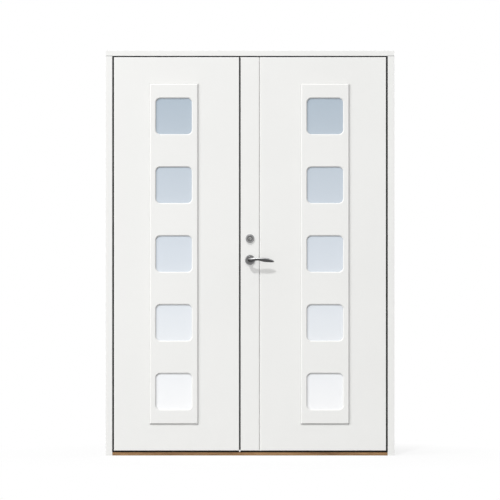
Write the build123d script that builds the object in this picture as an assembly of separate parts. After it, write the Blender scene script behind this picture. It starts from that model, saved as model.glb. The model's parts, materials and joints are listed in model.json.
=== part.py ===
"""Insulated double front door in its frame: a leaf that bolts hold on the left, the daily leaf on the right.

The outside faces -Y, +X is to the right seen from outside and +Z is up.
The origin is the middle of the threshold's underside. Lengths are millimetres.
Both leaves swing inwards, so every hinge barrel stands on the inside face.
"""

import math
import os

from build123d import *

# Frame
FRAME_WIDTH = 1490.0
FRAME_HEIGHT = 2090.0
FRAME_DEPTH = 62.0
JAMB_WIDTH = 34.5
HEAD_HEIGHT = 27.0
FRAME_ARRIS = 1.5
CUT_OVERRUN = 2.0

# Threshold and its wear strip
THRESHOLD_HEIGHT = 17.0
NOSE_DROP = 2.0
NOSE_RUN = 20.0
NOSE_ROUND = 3.0
WEAR_STRIP_WIDTH = 34.0
WEAR_STRIP_THICKNESS = 2.4
WEAR_STRIP_SETBACK = 24.0
WEAR_GROOVE_COUNT = 5
WEAR_GROOVE_WIDTH = 2.2
WEAR_GROOVE_DEPTH = 0.7

# Gaps round the leaves, as they show from outside
SIDE_GAP = 7.5
TOP_GAP = 6.5
BOTTOM_GAP = 8.0
MEETING_GAP = 6.0

# Leaf section: a body that fills the frame and a flange that laps over its inside face
SEAL_SPACE = 3.0
FLANGE_THICKNESS = 18.0
FLANGE_LAP = 17.0
LEAF_ARRIS = 3.0

# Lock stile of the daily leaf, between its meeting edge and the decorative groove
BACKSET = 50.0
STILE_GROOVE_OFFSET = 50.5
STILE_GROOVE_WIDTH = 10.5
STILE_GROOVE_DEPTH = 6.0

# Rubber seals
SEAL_ROOT_WIDTH = 4.0
SEAL_ROOT_DEPTH = 4.0
SEAL_FIN_WIDTH = 3.0
SEAL_CLEARANCE = 0.4
SEAL_SETBACK = 12.0

# Glazing: a raised panel with a column of square lights on each face of each leaf
LIGHT_COUNT = 5
LIGHT_CORNER = 23.0
LIGHT_END_MARGIN = 75.0
LIGHT_SIDE_MARGIN = 32.0
LIGHT_EDGE_BEVEL = 5.0
PANEL_WIDTH = 249.0
PANEL_SETBACK = 337.0
PANEL_HEAD_MARGIN = 137.5
PANEL_FOOT_MARGIN = 138.0
PANEL_THICKNESS = 10.0
PANEL_BEVEL = 5.0
PANEL_REBATE_DEPTH = 3.5
GLASS_LAP = 10.0
GLASS_CLEARANCE = 2.0
PANE_COUNT = 3
PANE_THICKNESS = 4.0
SPACER_DEPTH = 12.0
SPACER_WIDTH = 6.5
GASKET_THICKNESS = 2.0
GASKET_SETBACK = 3.0
COLLAR_CLEARANCE = 0.5

# Hinges: drill-in barrels, the lower knuckle on the frame and the upper on the leaf
HINGE_HEAD_INSET = 208.0
HINGE_FOOT_INSET = 203.0
KNUCKLE_RADIUS = 9.0
KNUCKLE_LENGTH = 46.0
KNUCKLE_STANDOFF = 2.5
KNUCKLE_BEVEL = 2.5
HINGE_PIN_RADIUS = 4.5
HINGE_PIN_CAP = 5.0
HINGE_RUNNING_CLEARANCE = 0.05
HINGE_WASHER_THICKNESS = 1.2
HINGE_STEM_RADIUS = 4.0
HINGE_STEM_SPACING = 24.0
HINGE_STEM_DEPTH = 24.0
HINGE_STEM_CLEARANCE = 0.1
PIN_END_SPACE = 0.6

# Fasteners of the frame
FIXING_HOLE_RADIUS = 5.25
FIXING_COUNT = 4
FIXING_HEAD_INSET = 113.0
FIXING_FOOT_INSET = 150.0
CORNER_SCREW_RADIUS = 2.5
CORNER_SCREW_HEAD_RADIUS = 5.0
CORNER_SCREW_LENGTH = 70.0
CORNER_SCREW_SPACING = 34.0
SCREW_CLEARANCE = 0.1

# Lock: heights, case and forend
LEVER_HEIGHT = 1010.0
CYLINDER_SPACING = 110.0
CASE_THICKNESS = 16.0
CASE_WALL = 1.5
CASE_REACH_BEHIND = 30.0
CASE_BELOW_LEVER = 36.0
CASE_ABOVE_CYLINDER = 42.0
CASE_CLEARANCE = 0.3
FOREND_WIDTH = 22.0
FOREND_THICKNESS = 3.0
FOREND_OVERHANG = 24.0
BOLT_CLEARANCE = 0.2

# Latch bolt and the follower that draws it back
LATCH_THROW = 12.0
LATCH_THICKNESS = 12.0
LATCH_HEIGHT = 18.0
LATCH_HEAD_LENGTH = 15.0
LATCH_RISE = 24.0
LATCH_BEVEL_LENGTH = 10.0
LATCH_BEVEL_DEPTH = 8.0
TAIL_THICKNESS = 6.0
TAIL_HEIGHT = 5.5
TAIL_HOOK_WIDTH = 6.0
TAIL_HOOK_DROP = 12.5
FOLLOWER_RADIUS = 8.5
FOLLOWER_ARM_REACH = 17.0
FOLLOWER_TIP_RADIUS = 3.5
FOLLOWER_ARM_THICKNESS = 5.4
FOLLOWER_PLAY = 0.8
SPINDLE_SIZE = 8.0
SPINDLE_PLAY = 0.1
HUB_CLEARANCE = 0.1

# Dead bolt and the cam that throws it
DEADBOLT_THROW = 20.0
DEADBOLT_THICKNESS = 12.0
DEADBOLT_HEIGHT = 22.0
DEADBOLT_HEAD_LENGTH = 28.0
DEADBOLT_RISE = 20.5
DEADBOLT_SHY = 0.3
CAM_TIP_RADIUS = 3.0
CAM_ARM_WIDTH = 3.6
CAM_PRONG_WIDTH = 5.4
CAM_PRONG_FOOT = 9.6
CAM_PLAY = 0.7
TAILPIECE_WIDTH = 7.0
TAILPIECE_THICKNESS = 3.0

# Lever furniture
ROSE_RADIUS = 26.0
ROSE_THICKNESS = 9.0
ROSE_ROUND = 3.5
ROSE_RIM = 5.0
ROSE_RIM_STEP = 1.6
NECK_RADIUS = 10.0
NECK_CLEARANCE = 0.15
NECK_SEAT_DEPTH = 6.0
SPINDLE_BORE_RADIUS = 12.0
SPINDLE_SOCKET_DEPTH = 20.0
LEVER_LENGTH = 125.0
LEVER_DEPTH = 23.0
LEVER_STANDOFF = 53.0
LEVER_THICKNESS = 13.0
# Lever stations past the neck: along, stand-off, height of the middle, depth, thickness
LEVER_STATION_SHARES = (
    (0.051, 0.86, 0.05, 0.86, 1.42),
    (0.176, 0.98, 0.14, 0.77, 1.15),
    (0.30, 1.0, 0.20, 0.67, 0.96),
    (0.46, 0.99, 0.12, 0.83, 0.88),
    (0.67, 0.95, 0.01, 1.0, 0.80),
    (0.86, 0.885, -0.18, 0.73, 0.66),
    (0.945, 0.85, -0.29, 0.46, 0.50),
    (0.99, 0.83, -0.34, 0.18, 0.28),
)
LEVER_TIP_ROUND = 1.2
NECK_STRAIGHT_SHARES = (0.21, 0.38, 0.56)

# Key cylinder outside and thumb turn inside
CYLINDER_RING_RADIUS = 22.5
CYLINDER_RING_THICKNESS = 10.0
CYLINDER_RING_ROUND = 2.5
CYLINDER_BARREL_RADIUS = 15.5
CYLINDER_FACE_RADIUS = 14.0
CYLINDER_FACE_STEP = 2.4
PLUG_RADIUS = 8.5
PLUG_LENGTH = 24.0
PLUG_CLEARANCE = 0.05
KEYWAY_WIDTH = 2.8
KEYWAY_HEIGHT = 10.5
KEYWAY_DEPTH = 9.0
KEYWAY_ANGLE = 50.0
KEYWAY_OFFSET = 2.8
TURN_STEM_RADIUS = 8.0
TURN_STEM_LENGTH = 14.0
TURN_GRIP_LENGTH = 34.0
TURN_GRIP_WIDTH = 12.0
TURN_GRIP_DEPTH = 17.0
TURN_GRIP_ROUND = 2.5

# Strike on the bolted leaf
STRIKE_POCKET_MARGIN = 2.0
STRIKE_POCKET_SPARE = 3.0

# Flush bolts of the bolted leaf
FLUSH_PLATE_WIDTH = 20.0
FLUSH_PLATE_LENGTH = 170.0
FLUSH_PLATE_END = 30.0
FLUSH_PLATE_THICKNESS = 3.0
FLUSH_BOLT_RADIUS = 5.0
FLUSH_BOLT_SETBACK = 18.0
FLUSH_BOLT_THROW = 16.0
FLUSH_BOLT_SHY = 1.0
FLUSH_BOLT_CLEARANCE = 0.3
THUMB_WIDTH = 8.0
THUMB_LENGTH = 14.0
THUMB_PROUD = 2.0
THUMB_ROUND = 1.5
KEEP_LENGTH = 46.0
KEEP_WIDTH = 20.0
KEEP_THICKNESS = 2.0

# Places that follow from the sizes above
FRAME_FRONT = -FRAME_DEPTH / 2
FRAME_BACK = FRAME_DEPTH / 2
FRAME_SIDE = FRAME_WIDTH / 2
JAMB_FACE = FRAME_SIDE - JAMB_WIDTH
HEAD_SOFFIT = FRAME_HEIGHT - HEAD_HEIGHT
LEAF_FRONT = FRAME_FRONT
FLANGE_FRONT = FRAME_BACK + SEAL_SPACE
LEAF_BACK = FLANGE_FRONT + FLANGE_THICKNESS
LEAF_MIDDLE = (LEAF_FRONT + LEAF_BACK) / 2
LEAF_EDGE = JAMB_FACE - SIDE_GAP
FLANGE_EDGE = LEAF_EDGE + FLANGE_LAP
LEAF_BOTTOM = THRESHOLD_HEIGHT + BOTTOM_GAP
LEAF_TOP = HEAD_SOFFIT - TOP_GAP
FLANGE_BOTTOM = LEAF_BOTTOM - FLANGE_LAP
FLANGE_TOP = LEAF_TOP + FLANGE_LAP
DAILY_MEETING_EDGE = -BACKSET
BOLTED_MEETING_EDGE = DAILY_MEETING_EDGE - MEETING_GAP
HINGE_AXIS_X = FLANGE_EDGE + KNUCKLE_STANDOFF + KNUCKLE_RADIUS
HINGE_AXIS_Y = FLANGE_FRONT + FLANGE_THICKNESS / 2
HINGE_LOW = LEAF_BOTTOM + HINGE_FOOT_INSET
HINGE_HIGH = LEAF_TOP - HINGE_HEAD_INSET
HINGE_HEIGHTS = (HINGE_LOW, (HINGE_LOW + HINGE_HIGH) / 2, HINGE_HIGH)
FIXING_PITCH = (HEAD_SOFFIT - FIXING_HEAD_INSET - FIXING_FOOT_INSET) / (FIXING_COUNT - 1)
FIXING_HEIGHTS = [FIXING_FOOT_INSET + FIXING_PITCH * n for n in range(FIXING_COUNT)]
PANEL_BOTTOM = LEAF_BOTTOM + PANEL_FOOT_MARGIN
PANEL_TOP = LEAF_TOP - PANEL_HEAD_MARGIN
LEFT_COLUMN = BOLTED_MEETING_EDGE - PANEL_SETBACK
RIGHT_COLUMN = STILE_GROOVE_OFFSET + PANEL_SETBACK
LIGHT_SIZE = PANEL_WIDTH - 2 * LIGHT_SIDE_MARGIN
LIGHT_LOW = PANEL_BOTTOM + LIGHT_END_MARGIN + LIGHT_SIZE / 2
LIGHT_HIGH = PANEL_TOP - LIGHT_END_MARGIN - LIGHT_SIZE / 2
LIGHT_PITCH = (LIGHT_HIGH - LIGHT_LOW) / (LIGHT_COUNT - 1)
CYLINDER_HEIGHT = LEVER_HEIGHT + CYLINDER_SPACING
CASE_BOTTOM = LEVER_HEIGHT - CASE_BELOW_LEVER
CASE_TOP = CYLINDER_HEIGHT + CASE_ABOVE_CYLINDER
CASE_FRONT = LEAF_MIDDLE - CASE_THICKNESS / 2
CASE_BACK = LEAF_MIDDLE + CASE_THICKNESS / 2
CASE_MOUTH = DAILY_MEETING_EDGE + FOREND_THICKNESS
CUTOUT_SIZE = LIGHT_SIZE + 2 * GLASS_LAP
CUTOUT_CORNER = LIGHT_CORNER + GLASS_LAP
GLASS_SIZE = CUTOUT_SIZE - 2 * GLASS_CLEARANCE
GLASS_CORNER = CUTOUT_CORNER - GLASS_CLEARANCE
GLASS_FRONT = LEAF_FRONT - PANEL_REBATE_DEPTH + GASKET_THICKNESS
PANE_PITCH = PANE_THICKNESS + SPACER_DEPTH
PANE_FRONTS = [GLASS_FRONT + PANE_PITCH * n for n in range(PANE_COUNT)]
GLASS_BACK = PANE_FRONTS[-1] + PANE_THICKNESS
WEAR_STRIP_FRONT = FRAME_FRONT + WEAR_STRIP_SETBACK
WEAR_STRIP_BACK = WEAR_STRIP_FRONT + WEAR_STRIP_WIDTH
OUTER_SEAL_MIDDLE = FRAME_FRONT + SEAL_SETBACK
LATCH_MIDDLE = LEVER_HEIGHT + LATCH_RISE
DEADBOLT_MIDDLE = CYLINDER_HEIGHT + DEADBOLT_RISE
FLUSH_BOLT_X = BOLTED_MEETING_EDGE - FLUSH_BOLT_SETBACK
LEFT, RIGHT = -1, 1


def block(x_span, y_span, z_span):
    """A box between two values on each axis, given in either order."""
    spans = [sorted(span) for span in (x_span, y_span, z_span)]
    sizes = [high - low for low, high in spans]
    middles = [(low + high) / 2 for low, high in spans]
    return Pos(*middles) * Box(*sizes)


def about(middle, size):
    """The span of a size centred on a middle."""
    return middle - size / 2, middle + size / 2


def rod(radius, start, end):
    """A round bar between two points."""
    along = Vector(*end) - Vector(*start)
    along_plane = Plane(origin=start, z_dir=along)
    return along_plane * Cylinder(radius, along.length, align=(Align.CENTER, Align.CENTER, Align.MIN))


def facing_out(depth):
    """The upright sketch plane at a depth, seen from outside: X to the right, Z up."""
    return Plane(origin=(0, depth, 0), x_dir=(1, 0, 0), z_dir=(0, -1, 0))


def upright(sketch, front, back):
    """A sketch drawn as seen from outside, made solid between two depths."""
    return extrude(facing_out(back) * sketch, back - front)


def portal(side, inner_side, top, under, y_span, bottom):
    """A strip that runs up one jamb, along the head and down the other jamb."""
    whole = block((-side, side), y_span, (bottom, top))
    return whole - block((-inner_side, inner_side), y_span, (bottom, under))


def column(side):
    """The middle line of one leaf's panel and lights."""
    return LEFT_COLUMN if side == LEFT else RIGHT_COLUMN


def light_places(side):
    """The middle of each light of one leaf, from the lowest up."""
    return [(column(side), LIGHT_LOW + LIGHT_PITCH * n) for n in range(LIGHT_COUNT)]


def light_outline(side, size, corner):
    """Rounded squares of one size at every light of one leaf."""
    return Sketch() + [Pos(x, z) * RectangleRounded(size, size, corner) for x, z in light_places(side)]


# Frame and its seals


def outer_seal_root():
    """The foot of the seal that shows in the gaps, let into jambs and head."""
    return portal(
        JAMB_FACE + SEAL_ROOT_DEPTH, JAMB_FACE, HEAD_SOFFIT + SEAL_ROOT_DEPTH, HEAD_SOFFIT,
        about(OUTER_SEAL_MIDDLE, SEAL_ROOT_WIDTH), THRESHOLD_HEIGHT,
    )


def inner_seal_lines():
    """Half-widths and heights of the seal behind the flange, in the middle of its lap on the frame."""
    side = (JAMB_FACE + FLANGE_EDGE) / 2
    top = (HEAD_SOFFIT + FLANGE_TOP) / 2
    return side, top


def inner_seal_strip(width, y_span):
    """A strip of one width along the inner seal's line."""
    side, top = inner_seal_lines()
    half = width / 2
    return portal(side + half, side - half, top + half, top - half, y_span, FLANGE_BOTTOM)


def inner_seal_root():
    """The foot of the seal between frame and flange."""
    return inner_seal_strip(SEAL_ROOT_WIDTH, (FRAME_BACK - SEAL_ROOT_DEPTH, FRAME_BACK))


def outer_frame_seal():
    """Rubber fin that closes the side and top gaps a little behind the outside face."""
    fin = portal(
        JAMB_FACE, LEAF_EDGE + SEAL_CLEARANCE, HEAD_SOFFIT, LEAF_TOP + SEAL_CLEARANCE,
        about(OUTER_SEAL_MIDDLE, SEAL_FIN_WIDTH), THRESHOLD_HEIGHT,
    )
    return outer_seal_root() + fin


def inner_frame_seal():
    """Rubber strip that the leaf's flange closes against."""
    fin = inner_seal_strip(SEAL_FIN_WIDTH, (FRAME_BACK, FLANGE_FRONT - SEAL_CLEARANCE))
    return inner_seal_root() + fin


def corner_screw_lines():
    """Head and tip of every screw that holds the frame together at its corners."""
    lines = []
    for side in (LEFT, RIGHT):
        for depth in about(0, CORNER_SCREW_SPACING):
            jamb_middle = side * (FRAME_SIDE - JAMB_WIDTH / 2)
            tip_height = FRAME_HEIGHT - CORNER_SCREW_LENGTH
            lines.append(((jamb_middle, depth, FRAME_HEIGHT), (jamb_middle, depth, tip_height)))
            sill_middle = THRESHOLD_HEIGHT / 2
            tip = side * (FRAME_SIDE - CORNER_SCREW_LENGTH)
            lines.append(((side * FRAME_SIDE, depth, sill_middle), (tip, depth, sill_middle)))
    return lines


def countersunk_screw(head, tip, clearance):
    """A countersunk screw, or the hole for it when there is clearance."""
    along = Vector(*tip) - Vector(*head)
    head_plane = Plane(origin=head, z_dir=along)
    head_depth = CORNER_SCREW_HEAD_RADIUS - CORNER_SCREW_RADIUS
    head_radius = CORNER_SCREW_HEAD_RADIUS + clearance
    shank_radius = CORNER_SCREW_RADIUS + clearance
    bottom_up = (Align.CENTER, Align.CENTER, Align.MIN)
    cone = head_plane * Cone(head_radius, shank_radius, head_depth + clearance, align=bottom_up)
    return cone + head_plane * Cylinder(shank_radius, along.length + clearance, align=bottom_up)


def corner_screw_holes():
    """Every hole for the frame's corner screws."""
    return [countersunk_screw(head, tip, SCREW_CLEARANCE) for head, tip in corner_screw_lines()]


def frame_screws():
    """The frame's corner screws."""
    return Compound([countersunk_screw(head, tip, 0).solid() for head, tip in corner_screw_lines()])


def jamb(side):
    """An upright of the frame, drilled for wall fixings and hinge stems and grooved for the seals."""
    body = block((side * FRAME_SIDE, side * JAMB_FACE), (FRAME_FRONT, FRAME_BACK), (0, HEAD_SOFFIT))
    front_face = body.faces().sort_by(Axis.Y)[0]
    body = fillet(front_face.edges().filter_by(Axis.Z), FRAME_ARRIS)
    hole_start = side * (JAMB_FACE - CUT_OVERRUN)
    hole_end = side * (FRAME_SIDE + CUT_OVERRUN)
    fixings = [rod(FIXING_HOLE_RADIUS, (hole_start, 0, z), (hole_end, 0, z)) for z in FIXING_HEIGHTS]
    stems = [stem for z in HINGE_HEIGHTS for stem in frame_stems(side, z, HINGE_STEM_CLEARANCE)]
    return body - [outer_seal_root(), inner_seal_root(), *fixings, *stems, *corner_screw_holes()]


def head():
    """The top of the frame, which lies on both jambs."""
    body = block((-FRAME_SIDE, FRAME_SIDE), (FRAME_FRONT, FRAME_BACK), (HEAD_SOFFIT, FRAME_HEIGHT))
    front_face = body.faces().sort_by(Axis.Y)[0]
    body = fillet(front_face.edges().filter_by(Axis.X), FRAME_ARRIS)
    socket_top = LEAF_TOP + FLUSH_BOLT_THROW + STRIKE_POCKET_SPARE
    socket = rod(
        FLUSH_BOLT_RADIUS + FLUSH_BOLT_CLEARANCE,
        (FLUSH_BOLT_X, LEAF_MIDDLE, HEAD_SOFFIT - CUT_OVERRUN), (FLUSH_BOLT_X, LEAF_MIDDLE, socket_top),
    )
    return body - [outer_seal_root(), inner_seal_root(), keep_plate_blank(), socket, *corner_screw_holes()]


def keep_plate_blank():
    """The plate that takes the upper flush bolt, before its hole."""
    return block(
        about(FLUSH_BOLT_X, KEEP_LENGTH), about(LEAF_MIDDLE, KEEP_WIDTH),
        (HEAD_SOFFIT, HEAD_SOFFIT + KEEP_THICKNESS),
    )


def head_keep_plate():
    """Steel keep for the upper flush bolt, let into the head."""
    hole = rod(
        FLUSH_BOLT_RADIUS + FLUSH_BOLT_CLEARANCE,
        (FLUSH_BOLT_X, LEAF_MIDDLE, HEAD_SOFFIT - CUT_OVERRUN),
        (FLUSH_BOLT_X, LEAF_MIDDLE, HEAD_SOFFIT + KEEP_THICKNESS + CUT_OVERRUN),
    )
    return keep_plate_blank() - hole


def sill_bolt_socket():
    """The hole for the lower flush bolt through the wear strip into the threshold."""
    foot = LEAF_BOTTOM - FLUSH_BOLT_THROW - STRIKE_POCKET_SPARE
    top = THRESHOLD_HEIGHT + CUT_OVERRUN
    radius = FLUSH_BOLT_RADIUS + FLUSH_BOLT_CLEARANCE
    return rod(radius, (FLUSH_BOLT_X, LEAF_MIDDLE, foot), (FLUSH_BOLT_X, LEAF_MIDDLE, top))


def wear_strip_blank():
    """The wear strip's outline, which is also its seat in the threshold."""
    return block(
        (-JAMB_FACE, JAMB_FACE), (WEAR_STRIP_FRONT, WEAR_STRIP_BACK),
        (THRESHOLD_HEIGHT - WEAR_STRIP_THICKNESS, THRESHOLD_HEIGHT),
    )


def threshold():
    """Oak threshold between the jambs, with a weathered nose."""
    nose_height = THRESHOLD_HEIGHT - NOSE_DROP
    section = Polyline(
        (FRAME_FRONT, 0), (FRAME_BACK, 0), (FRAME_BACK, THRESHOLD_HEIGHT),
        (FRAME_FRONT + NOSE_RUN, THRESHOLD_HEIGHT), (FRAME_FRONT, nose_height), close=True,
    )
    start = Plane(origin=(-JAMB_FACE, 0, 0), x_dir=(0, 1, 0), z_dir=(1, 0, 0))
    body = extrude(start * make_face(section), 2 * JAMB_FACE)
    nose_edges = body.edges().filter_by(Axis.X).filter_by_position(Axis.Y, *about(FRAME_FRONT, NOSE_ROUND))
    body = fillet(nose_edges.sort_by(Axis.Z)[-1], NOSE_ROUND)
    return body - [wear_strip_blank(), sill_bolt_socket(), *corner_screw_holes()]


def threshold_wear_strip():
    """Grooved aluminium strip let into the threshold, with the lower bolt's hole."""
    pitch = WEAR_STRIP_WIDTH / WEAR_GROOVE_COUNT
    grooves = [
        block(
            (-JAMB_FACE, JAMB_FACE), about(WEAR_STRIP_FRONT + pitch * (n + 1 / 2), WEAR_GROOVE_WIDTH),
            (THRESHOLD_HEIGHT - WEAR_GROOVE_DEPTH, THRESHOLD_HEIGHT),
        )
        for n in range(WEAR_GROOVE_COUNT)
    ]
    return wear_strip_blank() - [*grooves, sill_bolt_socket()]


# Hinges


def frame_stems(side, height, clearance):
    """The two studs of a hinge's lower knuckle that go into the jamb, or their holes."""
    x = side * HINGE_AXIS_X
    middle = height - (KNUCKLE_LENGTH + HINGE_WASHER_THICKNESS) / 2
    tip = FRAME_BACK - HINGE_STEM_DEPTH - clearance
    return [
        rod(HINGE_STEM_RADIUS + clearance, (x, HINGE_AXIS_Y, z), (x, tip, z))
        for z in about(middle, HINGE_STEM_SPACING)
    ]


def leaf_stems(side, height, clearance):
    """The two studs of a hinge's upper knuckle that go into the leaf's flange, or their holes."""
    middle = height + (KNUCKLE_LENGTH + HINGE_WASHER_THICKNESS) / 2
    tip = side * (FLANGE_EDGE - HINGE_STEM_DEPTH - clearance)
    return [
        rod(HINGE_STEM_RADIUS + clearance, (side * HINGE_AXIS_X, HINGE_AXIS_Y, z), (tip, HINGE_AXIS_Y, z))
        for z in about(middle, HINGE_STEM_SPACING)
    ]


def on_hinge_axis(side, height):
    """A place on a leaf's hinge axis."""
    return side * HINGE_AXIS_X, HINGE_AXIS_Y, height


def frame_knuckle(side, height):
    """The lower knuckle of one hinge, with its studs."""
    top = height - HINGE_WASHER_THICKNESS / 2
    bottom = top - KNUCKLE_LENGTH
    barrel = rod(KNUCKLE_RADIUS, on_hinge_axis(side, bottom), on_hinge_axis(side, top))
    knuckle = barrel + frame_stems(side, height, 0)
    bore = HINGE_PIN_RADIUS + HINGE_RUNNING_CLEARANCE
    return knuckle - rod(bore, on_hinge_axis(side, bottom), on_hinge_axis(side, top))


def leaf_knuckle(side, height):
    """The upper knuckle of one hinge: blind, round-topped, with its studs."""
    bottom = height + HINGE_WASHER_THICKNESS / 2
    top = bottom + KNUCKLE_LENGTH
    barrel = rod(KNUCKLE_RADIUS, on_hinge_axis(side, bottom), on_hinge_axis(side, top))
    barrel = chamfer(barrel.edges().sort_by(Axis.Z)[-1], KNUCKLE_BEVEL)
    knuckle = barrel + leaf_stems(side, height, 0)
    bore = HINGE_PIN_RADIUS + HINGE_RUNNING_CLEARANCE
    bore_end = on_hinge_axis(side, pin_top(height) + PIN_END_SPACE)
    return knuckle - rod(bore, on_hinge_axis(side, bottom), bore_end)


def pin_top(height):
    """The upper end of a hinge pin, inside the upper knuckle."""
    return height + HINGE_WASHER_THICKNESS / 2 + KNUCKLE_LENGTH - 2 * KNUCKLE_BEVEL


def hinge_pin(side, height):
    """The pin of one hinge, with the cap that closes the lower knuckle."""
    foot = height - HINGE_WASHER_THICKNESS / 2 - KNUCKLE_LENGTH
    cap = rod(KNUCKLE_RADIUS, on_hinge_axis(side, foot - HINGE_PIN_CAP), on_hinge_axis(side, foot))
    cap = chamfer(cap.edges().sort_by(Axis.Z)[0], KNUCKLE_BEVEL)
    return cap + rod(HINGE_PIN_RADIUS, on_hinge_axis(side, foot), on_hinge_axis(side, pin_top(height)))


def hinge_washer(side, height):
    """The brass washer that carries the upper knuckle."""
    low = height - HINGE_WASHER_THICKNESS / 2
    ring = rod(KNUCKLE_RADIUS, on_hinge_axis(side, low), on_hinge_axis(side, low + HINGE_WASHER_THICKNESS))
    bore = HINGE_PIN_RADIUS + HINGE_RUNNING_CLEARANCE
    return ring - rod(bore, on_hinge_axis(side, low), on_hinge_axis(side, low + HINGE_WASHER_THICKNESS))


def at_every_hinge(make, side):
    """One piece of each of a leaf's hinges, as a group of separate solids."""
    return Compound([make(side, height).solid() for height in HINGE_HEIGHTS])


# Leaves


def leaf_blank(side, meeting_edge):
    """A leaf with its flange, before anything is cut into it."""
    body = block((side * LEAF_EDGE, meeting_edge), (LEAF_FRONT, FLANGE_FRONT), (LEAF_BOTTOM, LEAF_TOP))
    body = fillet(body.faces().sort_by(Axis.Y)[0].edges(), LEAF_ARRIS)
    flange_span = (side * FLANGE_EDGE, meeting_edge)
    flange = block(flange_span, (FLANGE_FRONT, LEAF_BACK), (FLANGE_BOTTOM, FLANGE_TOP))
    flange = fillet(flange.faces().sort_by(Axis.Y)[-1].edges(), LEAF_ARRIS)
    return body + flange


def leaf_cuts(side, meeting_edge):
    """What both leaves have cut out: lights, hinge stud holes and the bottom seal's groove."""
    lights = upright(
        light_outline(side, CUTOUT_SIZE, CUTOUT_CORNER), LEAF_FRONT - CUT_OVERRUN, LEAF_BACK + CUT_OVERRUN
    )
    stems = [stem for height in HINGE_HEIGHTS for stem in leaf_stems(side, height, HINGE_STEM_CLEARANCE)]
    return [lights, bottom_seal_root(side, meeting_edge), *stems]


def bottom_seal_root(side, meeting_edge):
    """The foot of a leaf's bottom seal."""
    return block(
        (side * LEAF_EDGE, meeting_edge), about(OUTER_SEAL_MIDDLE, SEAL_ROOT_WIDTH),
        (LEAF_BOTTOM, LEAF_BOTTOM + SEAL_ROOT_DEPTH),
    )


def bottom_seal(side, meeting_edge):
    """Rubber fin under a leaf that closes the gap over the threshold."""
    fin = block(
        (side * LEAF_EDGE, meeting_edge), about(OUTER_SEAL_MIDDLE, SEAL_FIN_WIDTH),
        (THRESHOLD_HEIGHT + SEAL_CLEARANCE, LEAF_BOTTOM),
    )
    return bottom_seal_root(side, meeting_edge) + fin


def meeting_seal_root():
    """The foot of the seal between the two leaves, in the bolted leaf's edge."""
    return block(
        (BOLTED_MEETING_EDGE - SEAL_ROOT_DEPTH, BOLTED_MEETING_EDGE),
        about(OUTER_SEAL_MIDDLE, SEAL_ROOT_WIDTH),
        (LEAF_BOTTOM + SEAL_ROOT_DEPTH, LEAF_TOP),
    )


def meeting_seal():
    """Rubber fin that closes the gap between the leaves."""
    fin = block(
        (BOLTED_MEETING_EDGE, DAILY_MEETING_EDGE - SEAL_CLEARANCE),
        about(OUTER_SEAL_MIDDLE, SEAL_FIN_WIDTH),
        (LEAF_BOTTOM + SEAL_ROOT_DEPTH, LEAF_TOP),
    )
    return meeting_seal_root() + fin


def bolted_leaf():
    """The left leaf, which the flush bolts hold: pockets for the strike, the bolts and the meeting seal."""
    cuts = leaf_cuts(LEFT, BOLTED_MEETING_EDGE)
    cuts += [meeting_seal_root(), strike_blank(), *strike_pockets()]
    for up in (True, False):
        cuts += [flush_plate_blank(up), flush_bolt_way(up), thumb_way(up)]
    return leaf_blank(LEFT, BOLTED_MEETING_EDGE) - cuts


def daily_leaf():
    """The right leaf, with its stile groove and the pockets of its lock."""
    groove_half = STILE_GROOVE_WIDTH / 2
    groove = Polyline(
        (STILE_GROOVE_OFFSET - groove_half, LEAF_FRONT), (STILE_GROOVE_OFFSET + groove_half, LEAF_FRONT),
        (STILE_GROOVE_OFFSET, LEAF_FRONT + STILE_GROOVE_DEPTH), close=True,
    )
    groove_cut = Pos(0, 0, LEAF_BOTTOM) * extrude(make_face(groove), LEAF_TOP - LEAF_BOTTOM)
    case_pocket = block(
        (DAILY_MEETING_EDGE, CASE_REACH_BEHIND + CASE_CLEARANCE),
        about(LEAF_MIDDLE, CASE_THICKNESS + 2 * CASE_CLEARANCE),
        (CASE_BOTTOM - CASE_CLEARANCE, CASE_TOP + CASE_CLEARANCE),
    )
    spindle_bore = rod(
        SPINDLE_BORE_RADIUS,
        (0, LEAF_FRONT - CUT_OVERRUN, LEVER_HEIGHT), (0, LEAF_BACK + CUT_OVERRUN, LEVER_HEIGHT),
    )
    barrel_bore = rod(
        CYLINDER_BARREL_RADIUS + CASE_CLEARANCE,
        (0, LEAF_FRONT - CUT_OVERRUN, CYLINDER_HEIGHT), (0, LEAF_BACK + CUT_OVERRUN, CYLINDER_HEIGHT),
    )
    cuts = leaf_cuts(RIGHT, DAILY_MEETING_EDGE)
    cuts += [groove_cut, case_pocket, forend_blank(), spindle_bore, barrel_bore]
    return leaf_blank(RIGHT, DAILY_MEETING_EDGE) - cuts


# Glazing


def panel_plate(side):
    """The bevelled plate of a glazing panel on the leaf's outside face."""
    middle = Pos(column(side), (PANEL_BOTTOM + PANEL_TOP) / 2)
    plate = extrude(middle * Rectangle(PANEL_WIDTH, PANEL_TOP - PANEL_BOTTOM), PANEL_THICKNESS)
    top_face = plate.faces().sort_by(Axis.Z)[-1]
    plate = chamfer(top_face.edges(), PANEL_BEVEL)
    through = extrude(light_outline(side, LIGHT_SIZE, LIGHT_CORNER), PANEL_THICKNESS)
    plate = plate - through
    lights = plate.faces().sort_by(Axis.Z)[-1].inner_wires()
    plate = chamfer([edge for wire in lights for edge in wire.edges()], LIGHT_EDGE_BEVEL)
    return facing_out(LEAF_FRONT) * plate


def outer_panel(side):
    """The raised panel outside, rebated behind for the edges of the glass."""
    rebate = light_outline(side, CUTOUT_SIZE, CUTOUT_CORNER)
    return panel_plate(side) - upright(rebate, LEAF_FRONT - PANEL_REBATE_DEPTH, LEAF_FRONT)


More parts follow.
